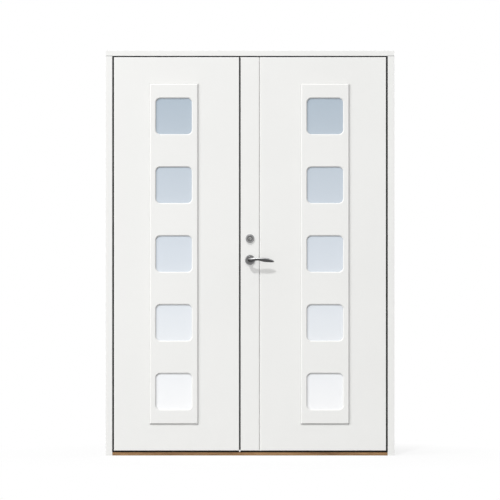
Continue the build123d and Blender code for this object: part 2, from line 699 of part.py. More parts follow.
def inner_panel(side):
    """The panel inside, with a collar round each light that holds the glass."""
    plate = mirror(panel_plate(side), facing_out(LEAF_MIDDLE))
    collar_size = CUTOUT_SIZE - 2 * COLLAR_CLEARANCE
    collar = light_outline(side, collar_size, CUTOUT_CORNER - COLLAR_CLEARANCE)
    collar -= light_outline(side, LIGHT_SIZE, LIGHT_CORNER)
    return plate + upright(collar, GLASS_BACK + GASKET_THICKNESS, LEAF_BACK)


def glass_unit(place):
    """The panes of one sealed glass unit."""
    outline = Pos(*place) * RectangleRounded(GLASS_SIZE, GLASS_SIZE, GLASS_CORNER)
    return Compound([upright(outline, front, front + PANE_THICKNESS).solid() for front in PANE_FRONTS])


def glass_spacers(side):
    """The frames that hold the panes of each glass unit apart, flush with the panes' edges."""
    ring = light_outline(side, GLASS_SIZE, GLASS_CORNER)
    ring -= light_outline(side, GLASS_SIZE - 2 * SPACER_WIDTH, GLASS_CORNER - SPACER_WIDTH)
    backs = [front + PANE_THICKNESS for front in PANE_FRONTS[:-1]]
    return Compound([solid for back in backs for solid in upright(ring, back, back + SPACER_DEPTH).solids()])


def glazing_gaskets(side):
    """Rubber rings before and behind each glass unit."""
    inside = LIGHT_SIZE + 2 * GASKET_SETBACK
    ring = light_outline(side, GLASS_SIZE, GLASS_CORNER)
    ring -= light_outline(side, inside, LIGHT_CORNER + GASKET_SETBACK)
    front = upright(ring, GLASS_FRONT - GASKET_THICKNESS, GLASS_FRONT)
    back = upright(ring, GLASS_BACK, GLASS_BACK + GASKET_THICKNESS)
    return Compound([*front.solids(), *back.solids()])


# Lock


def forend_blank():
    """The forend's outline, let into the daily leaf's edge."""
    return block(
        (DAILY_MEETING_EDGE, CASE_MOUTH), about(LEAF_MIDDLE, FOREND_WIDTH),
        (CASE_BOTTOM - FOREND_OVERHANG, CASE_TOP + FOREND_OVERHANG),
    )


def latch_way(clearance, x_span):
    """The latch head's section along a stretch of X."""
    return block(
        x_span, about(LEAF_MIDDLE, LATCH_THICKNESS + 2 * clearance),
        about(LATCH_MIDDLE, LATCH_HEIGHT + 2 * clearance),
    )


def deadbolt_way(clearance, x_span):
    """The dead bolt's section along a stretch of X."""
    return block(
        x_span, about(LEAF_MIDDLE, DEADBOLT_THICKNESS + 2 * clearance),
        about(DEADBOLT_MIDDLE, DEADBOLT_HEIGHT + 2 * clearance),
    )


def lock_forend():
    """Steel forend with the openings of both bolts."""
    through = (DAILY_MEETING_EDGE - CUT_OVERRUN, CASE_MOUTH + CUT_OVERRUN)
    return forend_blank() - [latch_way(BOLT_CLEARANCE, through), deadbolt_way(BOLT_CLEARANCE, through)]


def lock_case():
    """Thin steel box behind the forend, with round bearings for the follower and the cam."""
    outer = block((CASE_MOUTH, CASE_REACH_BEHIND), (CASE_FRONT, CASE_BACK), (CASE_BOTTOM, CASE_TOP))
    inner = block(
        (CASE_MOUTH, CASE_REACH_BEHIND - CASE_WALL), (CASE_FRONT + CASE_WALL, CASE_BACK - CASE_WALL),
        (CASE_BOTTOM + CASE_WALL, CASE_TOP - CASE_WALL),
    )
    bearing = FOLLOWER_RADIUS + HUB_CLEARANCE
    bearings = [
        rod(bearing, (0, CASE_FRONT - CUT_OVERRUN, z), (0, CASE_BACK + CUT_OVERRUN, z))
        for z in (LEVER_HEIGHT, CYLINDER_HEIGHT)
    ]
    return outer - [inner, *bearings]


def latch_bolt():
    """Latch bolt: bevelled head, and a tail whose hook the follower's arm draws back."""
    nose = DAILY_MEETING_EDGE - LATCH_THROW
    head_end = CASE_MOUTH + LATCH_HEAD_LENGTH
    head_block = latch_way(0, (nose, head_end))
    outer_side = LEAF_MIDDLE - LATCH_THICKNESS / 2
    bevel = Polyline(
        (nose, outer_side), (nose, outer_side + LATCH_BEVEL_DEPTH), (nose + LATCH_BEVEL_LENGTH, outer_side),
        close=True,
    )
    bevel_cut = Pos(0, 0, LATCH_MIDDLE - LATCH_HEIGHT / 2) * extrude(make_face(bevel), LATCH_HEIGHT)
    hook_face = FOLLOWER_TIP_RADIUS + FOLLOWER_PLAY
    tail_low = LEVER_HEIGHT + FOLLOWER_ARM_REACH + FOLLOWER_TIP_RADIUS + FOLLOWER_PLAY
    tail_side = about(LEAF_MIDDLE, TAIL_THICKNESS)
    tail_end = hook_face + TAIL_HOOK_WIDTH
    tail = block((head_end, tail_end), tail_side, (tail_low, tail_low + TAIL_HEIGHT))
    hook = block((hook_face, tail_end), tail_side, (tail_low - TAIL_HOOK_DROP, tail_low))
    return head_block - bevel_cut + tail + hook


def square_bar(size, height, front, back):
    """A square bar along Y."""
    return block(about(0, size), (front, back), about(height, size))


def follower():
    """The hub that the spindle turns, with the arm that draws the latch."""
    hub = rod(FOLLOWER_RADIUS, (0, CASE_FRONT, LEVER_HEIGHT), (0, CASE_BACK, LEVER_HEIGHT))
    tip_height = LEVER_HEIGHT + FOLLOWER_ARM_REACH
    arm_side = about(LEAF_MIDDLE, FOLLOWER_ARM_THICKNESS)
    tip = rod(FOLLOWER_TIP_RADIUS, (0, arm_side[0], tip_height), (0, arm_side[1], tip_height))
    arm = block(about(0, 2 * FOLLOWER_TIP_RADIUS), arm_side, (LEVER_HEIGHT, tip_height))
    socket = square_bar(SPINDLE_SIZE + 2 * SPINDLE_PLAY, LEVER_HEIGHT, CASE_FRONT, CASE_BACK)
    return hub + arm + tip - socket


def cam_tip_place():
    """Where the cam's tip stands with the dead bolt drawn back."""
    reach = DEADBOLT_THROW / 2
    return reach, CYLINDER_HEIGHT + reach


def deadbolt_cam():
    """The cam that the tailpiece turns: its tip moves the dead bolt across in a quarter turn."""
    hub = rod(FOLLOWER_RADIUS, (0, CASE_FRONT, CYLINDER_HEIGHT), (0, CASE_BACK, CYLINDER_HEIGHT))
    tip_x, tip_z = cam_tip_place()
    arm_side = about(LEAF_MIDDLE, FOLLOWER_ARM_THICKNESS)
    arm_sketch = SlotCenterToCenter(math.hypot(tip_x, tip_x), CAM_ARM_WIDTH, rotation=45)
    arm = upright(Pos(tip_x / 2, (CYLINDER_HEIGHT + tip_z) / 2) * arm_sketch, *arm_side)
    tip = rod(CAM_TIP_RADIUS, (tip_x, arm_side[0], tip_z), (tip_x, arm_side[1], tip_z))
    slot = block(
        about(0, TAILPIECE_THICKNESS + 2 * SPINDLE_PLAY), (CASE_FRONT, CASE_BACK),
        about(CYLINDER_HEIGHT, TAILPIECE_WIDTH + 2 * SPINDLE_PLAY),
    )
    return hub + arm + tip - slot


def deadbolt():
    """Dead bolt, drawn back flush with the forend, with the two prongs that the cam works between."""
    nose = DAILY_MEETING_EDGE + DEADBOLT_SHY
    head_end = nose + DEADBOLT_HEAD_LENGTH
    bolt = deadbolt_way(0, (nose, head_end))
    tip_x, _ = cam_tip_place()
    inner_half = CAM_TIP_RADIUS + CAM_PLAY
    outer_half = inner_half + CAM_PRONG_WIDTH
    tip_top = CYLINDER_HEIGHT + math.hypot(tip_x, tip_x) + CAM_TIP_RADIUS
    tail_low = tip_top + CAM_PLAY
    tail_side = about(LEAF_MIDDLE, TAIL_THICKNESS)
    tail_high = DEADBOLT_MIDDLE + DEADBOLT_HEIGHT / 2
    bolt += block((head_end, tip_x + outer_half), tail_side, (tail_low, tail_high))
    for direction in (-1, 1):
        prong = (tip_x + direction * inner_half, tip_x + direction * outer_half)
        bolt += block(prong, tail_side, (CYLINDER_HEIGHT + CAM_PRONG_FOOT, tail_low))
    return bolt


# Lever furniture


def face_plane(inside):
    """A plane on the leaf's face at the lever, its Z pointing away from the leaf and its Y up."""
    if inside:
        return Plane(origin=(0, LEAF_BACK, 0), x_dir=(-1, 0, 0), z_dir=(0, 1, 0))
    return Plane(origin=(0, LEAF_FRONT, 0), x_dir=(1, 0, 0), z_dir=(0, -1, 0))


def turned_disc(radius, thickness, rim_round, bore):
    """A flat disc with a rounded front edge and a hole."""
    upward = (Align.CENTER, Align.CENTER, Align.MIN)
    disc = Cylinder(radius, thickness, align=upward)
    disc = fillet(disc.edges().sort_by(Axis.Z)[-1], rim_round)
    return disc - Cylinder(bore, thickness, align=upward)


def rose(inside):
    """Round rose with a shallow step inside its rim, and the bearing for the lever's neck."""
    disc = turned_disc(ROSE_RADIUS, ROSE_THICKNESS, ROSE_ROUND, NECK_RADIUS + NECK_CLEARANCE)
    floor = ROSE_THICKNESS - ROSE_RIM_STEP
    upward = (Align.CENTER, Align.CENTER, Align.MIN)
    dish = Pos(0, 0, floor) * Cylinder(ROSE_RADIUS - ROSE_RIM, ROSE_RIM_STEP, align=upward)
    return face_plane(inside) * Pos(0, LEVER_HEIGHT) * (disc - dish)


def lever_station(shares):
    """One elliptical section of the lever's grip and the place and direction it stands at."""
    along, standoff, rise, depth, thickness = shares
    return (
        Vector(along * LEVER_LENGTH, rise * LEVER_DEPTH, standoff * LEVER_STANDOFF),
        depth * LEVER_DEPTH / 2,
        thickness * LEVER_THICKNESS / 2,
    )


def lever_grip():
    """Curved, leaf-shaped lever: a loft from the round neck through elliptical sections to the tip."""
    stations = [lever_station(shares) for shares in LEVER_STATION_SHARES]
    neck_low = ROSE_THICKNESS - NECK_SEAT_DEPTH
    neck_heights = [share * LEVER_STANDOFF for share in NECK_STRAIGHT_SHARES]
    sections = [Pos(0, 0, z) * Circle(NECK_RADIUS) for z in neck_heights]
    neck = extrude(Pos(0, 0, neck_low) * Circle(NECK_RADIUS), neck_heights[0] - neck_low)
    places = [Vector(0, 0, neck_heights[-1])] + [place for place, _, _ in stations]
    for n, (place, half_depth, half_thickness) in enumerate(stations, start=1):
        ahead = places[min(n + 1, len(places) - 1)] - places[n - 1]
        travel = Vector(ahead.X, 0, ahead.Z)
        across = Plane(origin=place, x_dir=(0, 1, 0), z_dir=travel)
        sections.append(across * Ellipse(half_depth, half_thickness))
    grip = loft(sections)
    tip_edge = grip.faces().sort_by(Axis.X)[-1].edges()
    grip = fillet(tip_edge, LEVER_TIP_ROUND)
    return grip + neck


def lever(inside):
    """A lever with the square socket for the spindle; both levers point to the hinge side."""
    grip = lever_grip()
    if inside:
        grip = mirror(grip, Plane.YZ)
    socket_size = SPINDLE_SIZE + 2 * SPINDLE_PLAY
    upward = (Align.CENTER, Align.CENTER, Align.MIN)
    socket = Box(socket_size, socket_size, SPINDLE_SOCKET_DEPTH, align=upward)
    socket = Pos(0, 0, ROSE_THICKNESS - NECK_SEAT_DEPTH) * socket
    return face_plane(inside) * Pos(0, LEVER_HEIGHT) * (grip - socket)


def spindle():
    """Square spindle through the follower into both levers."""
    reach = ROSE_THICKNESS - NECK_SEAT_DEPTH + SPINDLE_SOCKET_DEPTH - BOLT_CLEARANCE
    return square_bar(SPINDLE_SIZE, LEVER_HEIGHT, LEAF_FRONT - reach, LEAF_BACK + reach)


# Key cylinder and thumb turn


def cylinder_housing():
    """Ring and barrel of the key cylinder; the barrel stands on the lock case."""
    disc = turned_disc(
        CYLINDER_RING_RADIUS, CYLINDER_RING_THICKNESS, CYLINDER_RING_ROUND, PLUG_RADIUS + PLUG_CLEARANCE
    )
    upward = (Align.CENTER, Align.CENTER, Align.MIN)
    step = Cylinder(CYLINDER_FACE_RADIUS, CYLINDER_FACE_STEP, align=upward)
    step -= Cylinder(PLUG_RADIUS + PLUG_CLEARANCE, CYLINDER_FACE_STEP, align=upward)
    disc -= Pos(0, 0, CYLINDER_RING_THICKNESS - CYLINDER_FACE_STEP) * step
    barrel_length = CASE_FRONT - LEAF_FRONT
    barrel = Cylinder(CYLINDER_BARREL_RADIUS, barrel_length, align=upward)
    barrel -= Cylinder(PLUG_RADIUS + PLUG_CLEARANCE, barrel_length, align=upward)
    return face_plane(False) * Pos(0, CYLINDER_HEIGHT) * (disc + Pos(0, 0, -barrel_length) * barrel)


def cylinder_plug():
    """The turning plug with its keyway, and the flat tailpiece that reaches through to the thumb turn."""
    face = LEAF_FRONT - CYLINDER_RING_THICKNESS
    plug = rod(PLUG_RADIUS, (0, face + PLUG_LENGTH, CYLINDER_HEIGHT), (0, face, CYLINDER_HEIGHT))
    slot = Pos(-KEYWAY_OFFSET, 0) * Rectangle(KEYWAY_HEIGHT, KEYWAY_WIDTH)
    keyway = upright(Pos(0, CYLINDER_HEIGHT) * Rot(Z=KEYWAY_ANGLE) * slot, face, face + KEYWAY_DEPTH)
    tail_end = LEAF_BACK + ROSE_THICKNESS + TURN_STEM_LENGTH / 2
    tail = block(
        about(0, TAILPIECE_THICKNESS), (face + PLUG_LENGTH, tail_end),
        about(CYLINDER_HEIGHT, TAILPIECE_WIDTH),
    )
    return plug - keyway + tail


def thumb_turn_rose():
    """Round rose that carries the thumb turn."""
    bore = TURN_STEM_RADIUS + NECK_CLEARANCE
    disc = turned_disc(CYLINDER_RING_RADIUS, ROSE_THICKNESS, CYLINDER_RING_ROUND, bore)
    return face_plane(True) * Pos(0, CYLINDER_HEIGHT) * disc


def thumb_turn():
    """Thumb turn: a round stem and a flat grip, level while the dead bolt is drawn back."""
    upward = (Align.CENTER, Align.CENTER, Align.MIN)
    stem_low = ROSE_THICKNESS - NECK_SEAT_DEPTH
    stem = Pos(0, 0, stem_low) * Cylinder(TURN_STEM_RADIUS, TURN_STEM_LENGTH, align=upward)
    grip = extrude(SlotOverall(TURN_GRIP_LENGTH, TURN_GRIP_WIDTH), TURN_GRIP_DEPTH)
    grip = fillet(grip.faces().sort_by(Axis.Z)[-1].edges(), TURN_GRIP_ROUND)
    turn = stem + Pos(0, 0, ROSE_THICKNESS + CASE_CLEARANCE) * grip
    slot_thickness = TAILPIECE_THICKNESS + 2 * SPINDLE_PLAY
    slot_width = TAILPIECE_WIDTH + 2 * SPINDLE_PLAY
    slot = Box(slot_thickness, slot_width, TURN_STEM_LENGTH, align=upward)
    return face_plane(True) * Pos(0, CYLINDER_HEIGHT) * (turn - Pos(0, 0, stem_low) * slot)


# Strike and flush bolts of the bolted leaf


def strike_blank():
    """The strike's outline in the bolted leaf's edge, opposite the forend."""
    return block(
        (BOLTED_MEETING_EDGE - FOREND_THICKNESS, BOLTED_MEETING_EDGE), about(LEAF_MIDDLE, FOREND_WIDTH),
        (CASE_BOTTOM - FOREND_OVERHANG, CASE_TOP + FOREND_OVERHANG),
    )


def strike_pockets():
    """The spaces in the bolted leaf for both thrown bolts."""
    latch_end = DAILY_MEETING_EDGE - LATCH_THROW - STRIKE_POCKET_SPARE
    deadbolt_end = DAILY_MEETING_EDGE - DEADBOLT_THROW - STRIKE_POCKET_SPARE
    return [
        latch_way(STRIKE_POCKET_MARGIN, (latch_end, BOLTED_MEETING_EDGE)),
        deadbolt_way(STRIKE_POCKET_MARGIN, (deadbolt_end, BOLTED_MEETING_EDGE)),
    ]


def strike_plate():
    """Steel strike with an opening for each bolt."""
    return strike_blank() - strike_pockets()


def flush_plate_span(up):
    """Low and high end of a flush bolt's face plate."""
    if up:
        return LEAF_TOP - FLUSH_PLATE_END - FLUSH_PLATE_LENGTH, LEAF_TOP - FLUSH_PLATE_END
    return LEAF_BOTTOM + FLUSH_PLATE_END, LEAF_BOTTOM + FLUSH_PLATE_END + FLUSH_PLATE_LENGTH


def flush_plate_blank(up):
    """A flush bolt's face plate before its slot."""
    return block(
        (BOLTED_MEETING_EDGE - FLUSH_PLATE_THICKNESS, BOLTED_MEETING_EDGE),
        about(LEAF_MIDDLE, FLUSH_PLATE_WIDTH), flush_plate_span(up),
    )


def thumb_span(up):
    """Low and high end of a flush bolt's thumb piece while the bolt is drawn back."""
    low, high = flush_plate_span(up)
    return about((low + high) / 2, THUMB_LENGTH)


def thumb_way(up):
    """The slot that the thumb piece travels in, through plate and leaf."""
    low, high = thumb_span(up)
    travel = (low, high + FLUSH_BOLT_THROW) if up else (low - FLUSH_BOLT_THROW, high)
    z_span = (travel[0] - FLUSH_BOLT_CLEARANCE, travel[1] + FLUSH_BOLT_CLEARANCE)
    y_span = about(LEAF_MIDDLE, THUMB_WIDTH + 2 * FLUSH_BOLT_CLEARANCE)
    return block((FLUSH_BOLT_X, BOLTED_MEETING_EDGE), y_span, z_span)


def flush_bolt_ends(up):
    """Inner and outer end of a flush bolt while it is drawn back."""
    low, high = thumb_span(up)
    return (low, LEAF_TOP - FLUSH_BOLT_SHY) if up else (high, LEAF_BOTTOM + FLUSH_BOLT_SHY)


def flush_bolt_way(up):
    """The hole in the leaf that a flush bolt slides in."""
    inner, _ = flush_bolt_ends(up)
    edge = LEAF_TOP + CUT_OVERRUN if up else LEAF_BOTTOM - CUT_OVERRUN
    inner_spare = -FLUSH_BOLT_CLEARANCE if up else FLUSH_BOLT_CLEARANCE
    return rod(
        FLUSH_BOLT_RADIUS + FLUSH_BOLT_CLEARANCE,
        (FLUSH_BOLT_X, LEAF_MIDDLE, inner + inner_spare), (FLUSH_BOLT_X, LEAF_MIDDLE, edge),
    )


def flush_bolt_plate(up):
    """Steel face plate of a flush bolt, slotted for the thumb piece."""
    return flush_plate_blank(up) - thumb_way(up)


def flush_bolt(up):
    """A flush bolt: the rod and the thumb piece that stands out of the plate."""
    inner, outer = flush_bolt_ends(up)
    bar = rod(FLUSH_BOLT_RADIUS, (FLUSH_BOLT_X, LEAF_MIDDLE, inner), (FLUSH_BOLT_X, LEAF_MIDDLE, outer))
    thumb = block(
        (FLUSH_BOLT_X, BOLTED_MEETING_EDGE + THUMB_PROUD), about(LEAF_MIDDLE, THUMB_WIDTH), thumb_span(up)
    )
    thumb = fillet(thumb.faces().sort_by(Axis.X)[-1].edges(), THUMB_ROUND)
    return bar + thumb


def all_pieces():
    """Every node of the door by name."""
    pieces = {
        "left_jamb": jamb(LEFT),
        "right_jamb": jamb(RIGHT),
        "head": head(),
        "head_keep_plate": head_keep_plate(),
        "threshold": threshold(),
        "threshold_wear_strip": threshold_wear_strip(),
        "outer_frame_seal": outer_frame_seal(),
        "inner_frame_seal": inner_frame_seal(),
        "frame_screws": frame_screws(),
        "bolted_leaf_slab": bolted_leaf(),
        "daily_leaf_slab": daily_leaf(),
        "meeting_seal": meeting_seal(),
        "strike_plate": strike_plate(),
        "upper_flush_bolt_plate": flush_bolt_plate(True),
        "lower_flush_bolt_plate": flush_bolt_plate(False),
        "upper_flush_bolt": flush_bolt(True),
        "lower_flush_bolt": flush_bolt(False),
        "lock_forend": lock_forend(),
        "lock_case": lock_case(),
        "latch_bolt": latch_bolt(),
        "lock_follower": follower(),
        "deadbolt": deadbolt(),
        "deadbolt_cam": deadbolt_cam(),
        "spindle": spindle(),
        "cylinder_housing": cylinder_housing(),
        "cylinder_plug": cylinder_plug(),
        "thumb_turn_rose": thumb_turn_rose(),
        "thumb_turn": thumb_turn(),
    }
    for place, inside in (("outer", False), ("inner", True)):
        pieces[f"{place}_rose"] = rose(inside)
        pieces[f"{place}_lever"] = lever(inside)
    leaves = (("bolted", "left", LEFT, BOLTED_MEETING_EDGE), ("daily", "right", RIGHT, DAILY_MEETING_EDGE))
    for leaf, hand, side, meeting_edge in leaves:
        pieces[f"{leaf}_bottom_seal"] = bottom_seal(side, meeting_edge)
        pieces[f"{leaf}_outer_panel"] = outer_panel(side)
        pieces[f"{leaf}_inner_panel"] = inner_panel(side)
        pieces[f"{leaf}_glazing_gaskets"] = glazing_gaskets(side)
        for n, place in enumerate(light_places(side), start=1):
            pieces[f"{leaf}_glass_{n}"] = glass_unit(place)
        pieces[f"{leaf}_glass_spacers"] = glass_spacers(side)
        pieces[f"{hand}_hinge_frame_knuckles"] = at_every_hinge(frame_knuckle, side)
        pieces[f"{hand}_hinge_leaf_knuckles"] = at_every_hinge(leaf_knuckle, side)
        pieces[f"{hand}_hinge_pins"] = at_every_hinge(hinge_pin, side)
        pieces[f"{hand}_hinge_washers"] = at_every_hinge(hinge_washer, side)
    return pieces


def main():
    """Writes one STEP file for each node."""
    os.makedirs("parts", exist_ok=True)
    for name, piece in all_pieces().items():
        export_step(piece, f"parts/{name}.step")


main()
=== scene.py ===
"""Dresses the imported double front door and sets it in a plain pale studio, seen straight on from outside.

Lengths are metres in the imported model's frame: -Y is outside, +X is to the right seen from outside, +Z is up.
"""

import json
import logging
import math
from abc import ABC, abstractmethod
from collections.abc import Iterable, Sequence
from dataclasses import dataclass
from enum import Enum

import bmesh
import bpy
from bpy.types import Collection, Light, Material, Mesh, Node, NodeSocket, NodeTree, Object
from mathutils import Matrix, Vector

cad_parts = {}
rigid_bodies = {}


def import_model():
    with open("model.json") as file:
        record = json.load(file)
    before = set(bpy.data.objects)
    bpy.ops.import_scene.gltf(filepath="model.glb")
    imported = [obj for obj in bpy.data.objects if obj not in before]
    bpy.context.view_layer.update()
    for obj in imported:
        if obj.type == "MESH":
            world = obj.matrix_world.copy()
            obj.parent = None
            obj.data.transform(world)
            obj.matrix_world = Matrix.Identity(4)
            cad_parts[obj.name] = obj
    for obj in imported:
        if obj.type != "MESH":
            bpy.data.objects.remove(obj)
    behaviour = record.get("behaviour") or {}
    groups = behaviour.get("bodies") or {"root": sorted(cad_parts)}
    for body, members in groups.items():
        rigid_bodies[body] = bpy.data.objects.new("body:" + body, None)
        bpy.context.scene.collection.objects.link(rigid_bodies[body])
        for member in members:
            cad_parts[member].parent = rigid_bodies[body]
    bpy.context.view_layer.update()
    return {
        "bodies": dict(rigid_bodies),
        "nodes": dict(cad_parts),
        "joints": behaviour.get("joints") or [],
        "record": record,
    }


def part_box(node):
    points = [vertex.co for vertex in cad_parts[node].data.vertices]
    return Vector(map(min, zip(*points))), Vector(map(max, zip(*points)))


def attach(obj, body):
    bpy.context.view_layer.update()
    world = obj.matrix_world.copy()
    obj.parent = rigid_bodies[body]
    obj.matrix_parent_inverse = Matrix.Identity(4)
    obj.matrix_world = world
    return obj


LOG = logging.getLogger("front_door")
QUARTER_TURN = math.pi / 2
WHITE = (1.0, 1.0, 1.0, 1.0)

# The sockets of the Random Value node that belong to plain numbers
RANDOM_HIGHEST = 3
RANDOM_RESULT = 1

Colour = tuple[float, float, float]
Triple = tuple[float, float, float]
Span = tuple[float, float]
Inputs = dict[str | int, object]


class Leaf(Enum):
    """The two leaves, by the word that their nodes and bodies start with."""

    BOLTED = "bolted"
    DAILY = "daily"

    @property
    def body(self) -> str:
        """The CAD body that this leaf's pieces ride on."""
        return f"{self.value}_leaf"

    @property
    def hand(self) -> str:
        """The side of the frame that this leaf hangs on, seen from outside."""
        return "left" if self is Leaf.BOLTED else "right"

    @property
    def outward(self) -> float:
        """The way on X from the middle of the door to this leaf's hinges."""
        return -1.0 if self is Leaf.BOLTED else 1.0


class Facing(Enum):
    """The way a face looks, as the Euler turn that brings +Z to it."""

    IN = (-QUARTER_TURN, 0.0, 0.0)
    LEFT = (0.0, -QUARTER_TURN, 0.0)
    RIGHT = (0.0, QUARTER_TURN, 0.0)
    UP = (0.0, 0.0, 0.0)
    DOWN = (math.pi, 0.0, 0.0)


class Grain(Enum):
    """The line that brushing or wood grain runs along, as a stretch of the texture on each axis."""

    ACROSS = (0.04, 1.0, 1.0)
    UPRIGHT = (1.0, 1.0, 0.04)
    INWARD = (1.0, 0.05, 1.0)


# Finishes


@dataclass(frozen=True)
class Noise:
    """Soft random variation: its features in a metre, about, and how many finer layers are added."""

    scale: float
    detail: float


@dataclass(frozen=True)
class Mottle:
    """Patches in a colour: their variation, and the span of it that takes the colour from tint to tint."""

    noise: Noise
    span: Span
    tints: Span


@dataclass(frozen=True)
class Relief:
    """A fine relief: how much of it shows, and its depth."""

    strength: float
    depth: float


class Wiring:
    """A node tree under construction, with short ways to add to it."""

    def __init__(self, tree: NodeTree) -> None:
        """Takes the tree that is added to."""
        self.tree = tree

    def node(self, kind: str, inputs: Inputs | None = None, **settings: object) -> Node:
        """Adds a node.

        Args:
            kind: the node's type name.
            inputs: values or sockets for its inputs, by name or number.
            settings: values for its own properties.

        Returns:
            The new node.
        """
        made = self.tree.nodes.new(kind)
        for key, value in settings.items():
            setattr(made, key, value)
        for key, value in (inputs or {}).items():
            self.feed(made.inputs[key], value)
        return made

    def feed(self, socket: NodeSocket, value: object) -> None:
        """Sets an input to a value, or links it to another node's output.

        Args:
            socket: the input.
            value: a plain value or an output socket.
        """
        if isinstance(value, NodeSocket):
            self.tree.links.new(value, socket)
        else:
            socket.default_value = value

    def reckon(self, operation: str, *terms: object) -> NodeSocket:
        """Does one step of arithmetic on values or sockets."""
        return self.node("ShaderNodeMath", dict(enumerate(terms)), operation=operation).outputs["Value"]

    def vector(self, operation: str, *terms: object) -> NodeSocket:
        """Does one step of arithmetic on vectors, and gives its vector or, for a length, its value."""
        made = self.node("ShaderNodeVectorMath", dict(enumerate(terms)), operation=operation)
        return made.outputs["Value" if operation == "LENGTH" else "Vector"]

    def axis(self, vector: NodeSocket, name: str) -> NodeSocket:
        """One axis of a vector."""
        return self.node("ShaderNodeSeparateXYZ", {"Vector": vector}).outputs[name]

    def spread(self, value: NodeSocket, result: Span, span: Span = (0.0, 1.0)) -> NodeSocket:
        """Turns a variation over a span into one over another.

        Args:
            value: the variation.
            result: the results at the start and at the end of the span.
            span: the values that give them.

        Returns:
            A value socket.
        """
        limits = {"From Min": span[0], "From Max": span[1], "To Min": result[0], "To Max": result[1]}
        return self.node("ShaderNodeMapRange", {"Value": value, **limits}).outputs["Result"]

    def mix(self, share: NodeSocket, first: NodeSocket, second: NodeSocket) -> NodeSocket:
        """Goes from a first shader to a second by a share."""
        return self.node("ShaderNodeMixShader", {"Fac": share, 1: first, 2: second}).outputs["Shader"]

    def showing(self) -> NodeSocket:
        """Tells rays that show the background from rays that carry light.

        Returns:
            A value socket that is 1 for camera, mirror and see-through rays.
        """
        path = self.node("ShaderNodeLightPath").outputs
        mirrored = self.reckon("MAXIMUM", path["Is Camera Ray"], path["Is Glossy Ray"])
        return self.reckon("MAXIMUM", mirrored, path["Is Transmission Ray"])


class Shader(Wiring):
    """A material under construction: a surface shader and short ways to feed it."""

    def __init__(self, name: str) -> None:
        """Starts a material with a plain surface shader.

        Args:
            name: the material's name.
        """
        self.material = bpy.data.materials.new(name)
        self.material.use_nodes = True
        super().__init__(self.material.node_tree)
        self.surface = self.tree.nodes["Principled BSDF"]

    def set(self, **values: object) -> None:
        """Sets or links the surface shader's inputs, named with underscores for spaces."""
        for key, value in values.items():
            self.feed(self.surface.inputs[key.replace("_", " ")], value)

    def place(self, stretch: Triple = (1.0, 1.0, 1.0)) -> NodeSocket:
        """The place on the piece, stretched by a factor on each axis."""
        here = self.node("ShaderNodeTexCoord").outputs["Object"]
        return self.node("ShaderNodeMapping", {"Vector": here, "Scale": stretch}).outputs["Vector"]

    def noise(self, noise: Noise, where: NodeSocket) -> NodeSocket:
        """Random variation from 0 to 1, read at a place."""
        inputs = {"Vector": where, "Scale": noise.scale, "Detail": noise.detail}
        return self.node("ShaderNodeTexNoise", inputs).outputs["Fac"]

    def ramp(self, value: NodeSocket, stops: Sequence[tuple[float, Colour]]) -> NodeSocket:
        """Colours a variation.

        Args:
            value: the variation from 0 to 1.
            stops: a position and a colour for each stop, in order.

        Returns:
            A colour socket.
        """
        made = self.node("ShaderNodeValToRGB", {"Fac": value})
        elements = made.color_ramp.elements
        halfway = 0.5
        while len(elements) < len(stops):
            elements.new(halfway)
        for element, (position, colour) in zip(elements, stops):
            element.position = position
            element.color = (*colour, 1.0)
        return made.outputs["Color"]

    def mottled(self, colour: Colour, mottle: Mottle, where: NodeSocket) -> NodeSocket:
        """A colour with patches in it, read at a place."""
        stops = [(position, tint(colour, factor)) for position, factor in zip(mottle.span, mottle.tints)]
        return self.ramp(self.noise(mottle.noise, where), stops)

    def darken(self, colour: NodeSocket, shade: NodeSocket) -> NodeSocket:
        """Multiplies a colour by a variation."""
        inputs = {0: colour, "Scale": shade}
        return self.node("ShaderNodeVectorMath", inputs, operation="SCALE").outputs["Vector"]

    def bump(self, height: NodeSocket, relief: Relief) -> None:
        """Gives the surface a fine relief.

        Args:
            height: the relief's height from 0 to 1.
            relief: how much of it shows, and how deep it is.
        """
        inputs = {"Height": height, "Strength": relief.strength, "Distance": relief.depth}
        self.set(Normal=self.node("ShaderNodeBump", inputs).outputs["Normal"])


def tint(colour: Colour, factor: float) -> Colour:
    """A colour made lighter or darker by a factor."""
    red, green, blue = (min(1.0, part * factor) for part in colour)
    return red, green, blue


def around(middle: float, offsets: Span) -> Span:
    """The span that lies about a middle."""
    return middle + offsets[0], middle + offsets[1]


@dataclass(frozen=True)
class Paint:
    """Satin paint with a fine roller texture over faint wood grain."""

    name: str
    colour: Colour
    grain: Grain
    grain_depth: float
    roughness: float = 0.36
    gloss_marks: Span = (-0.05, 0.06)
    specular: float = 0.4
    clouds: Mottle = Mottle(Noise(1.7, 3.0), (0.3, 0.7), (0.985, 1.008))
    peel: Noise = Noise(520.0, 2.0)
    peel_depth: float = 0.00013
    fibres: Noise = Noise(240.0, 4.0)
    relief: Relief = Relief(0.3, 1.0)

    def material(self) -> Material:
        """Builds the paint.

        Returns:
            The material.
        """
        shader = Shader(self.name)
        here = shader.place()
        peel = shader.noise(self.peel, here)
        fibres = shader.noise(self.fibres, shader.place(self.grain.value))
        rolled = shader.reckon("MULTIPLY", peel, self.peel_depth)
        shader.set(
            Base_Color=shader.mottled(self.colour, self.clouds, here),
            Roughness=shader.spread(peel, around(self.roughness, self.gloss_marks)),
            Specular_IOR_Level=self.specular,
        )
        shader.bump(shader.reckon("MULTIPLY_ADD", fibres, self.grain_depth, rolled), self.relief)
        return shader.material


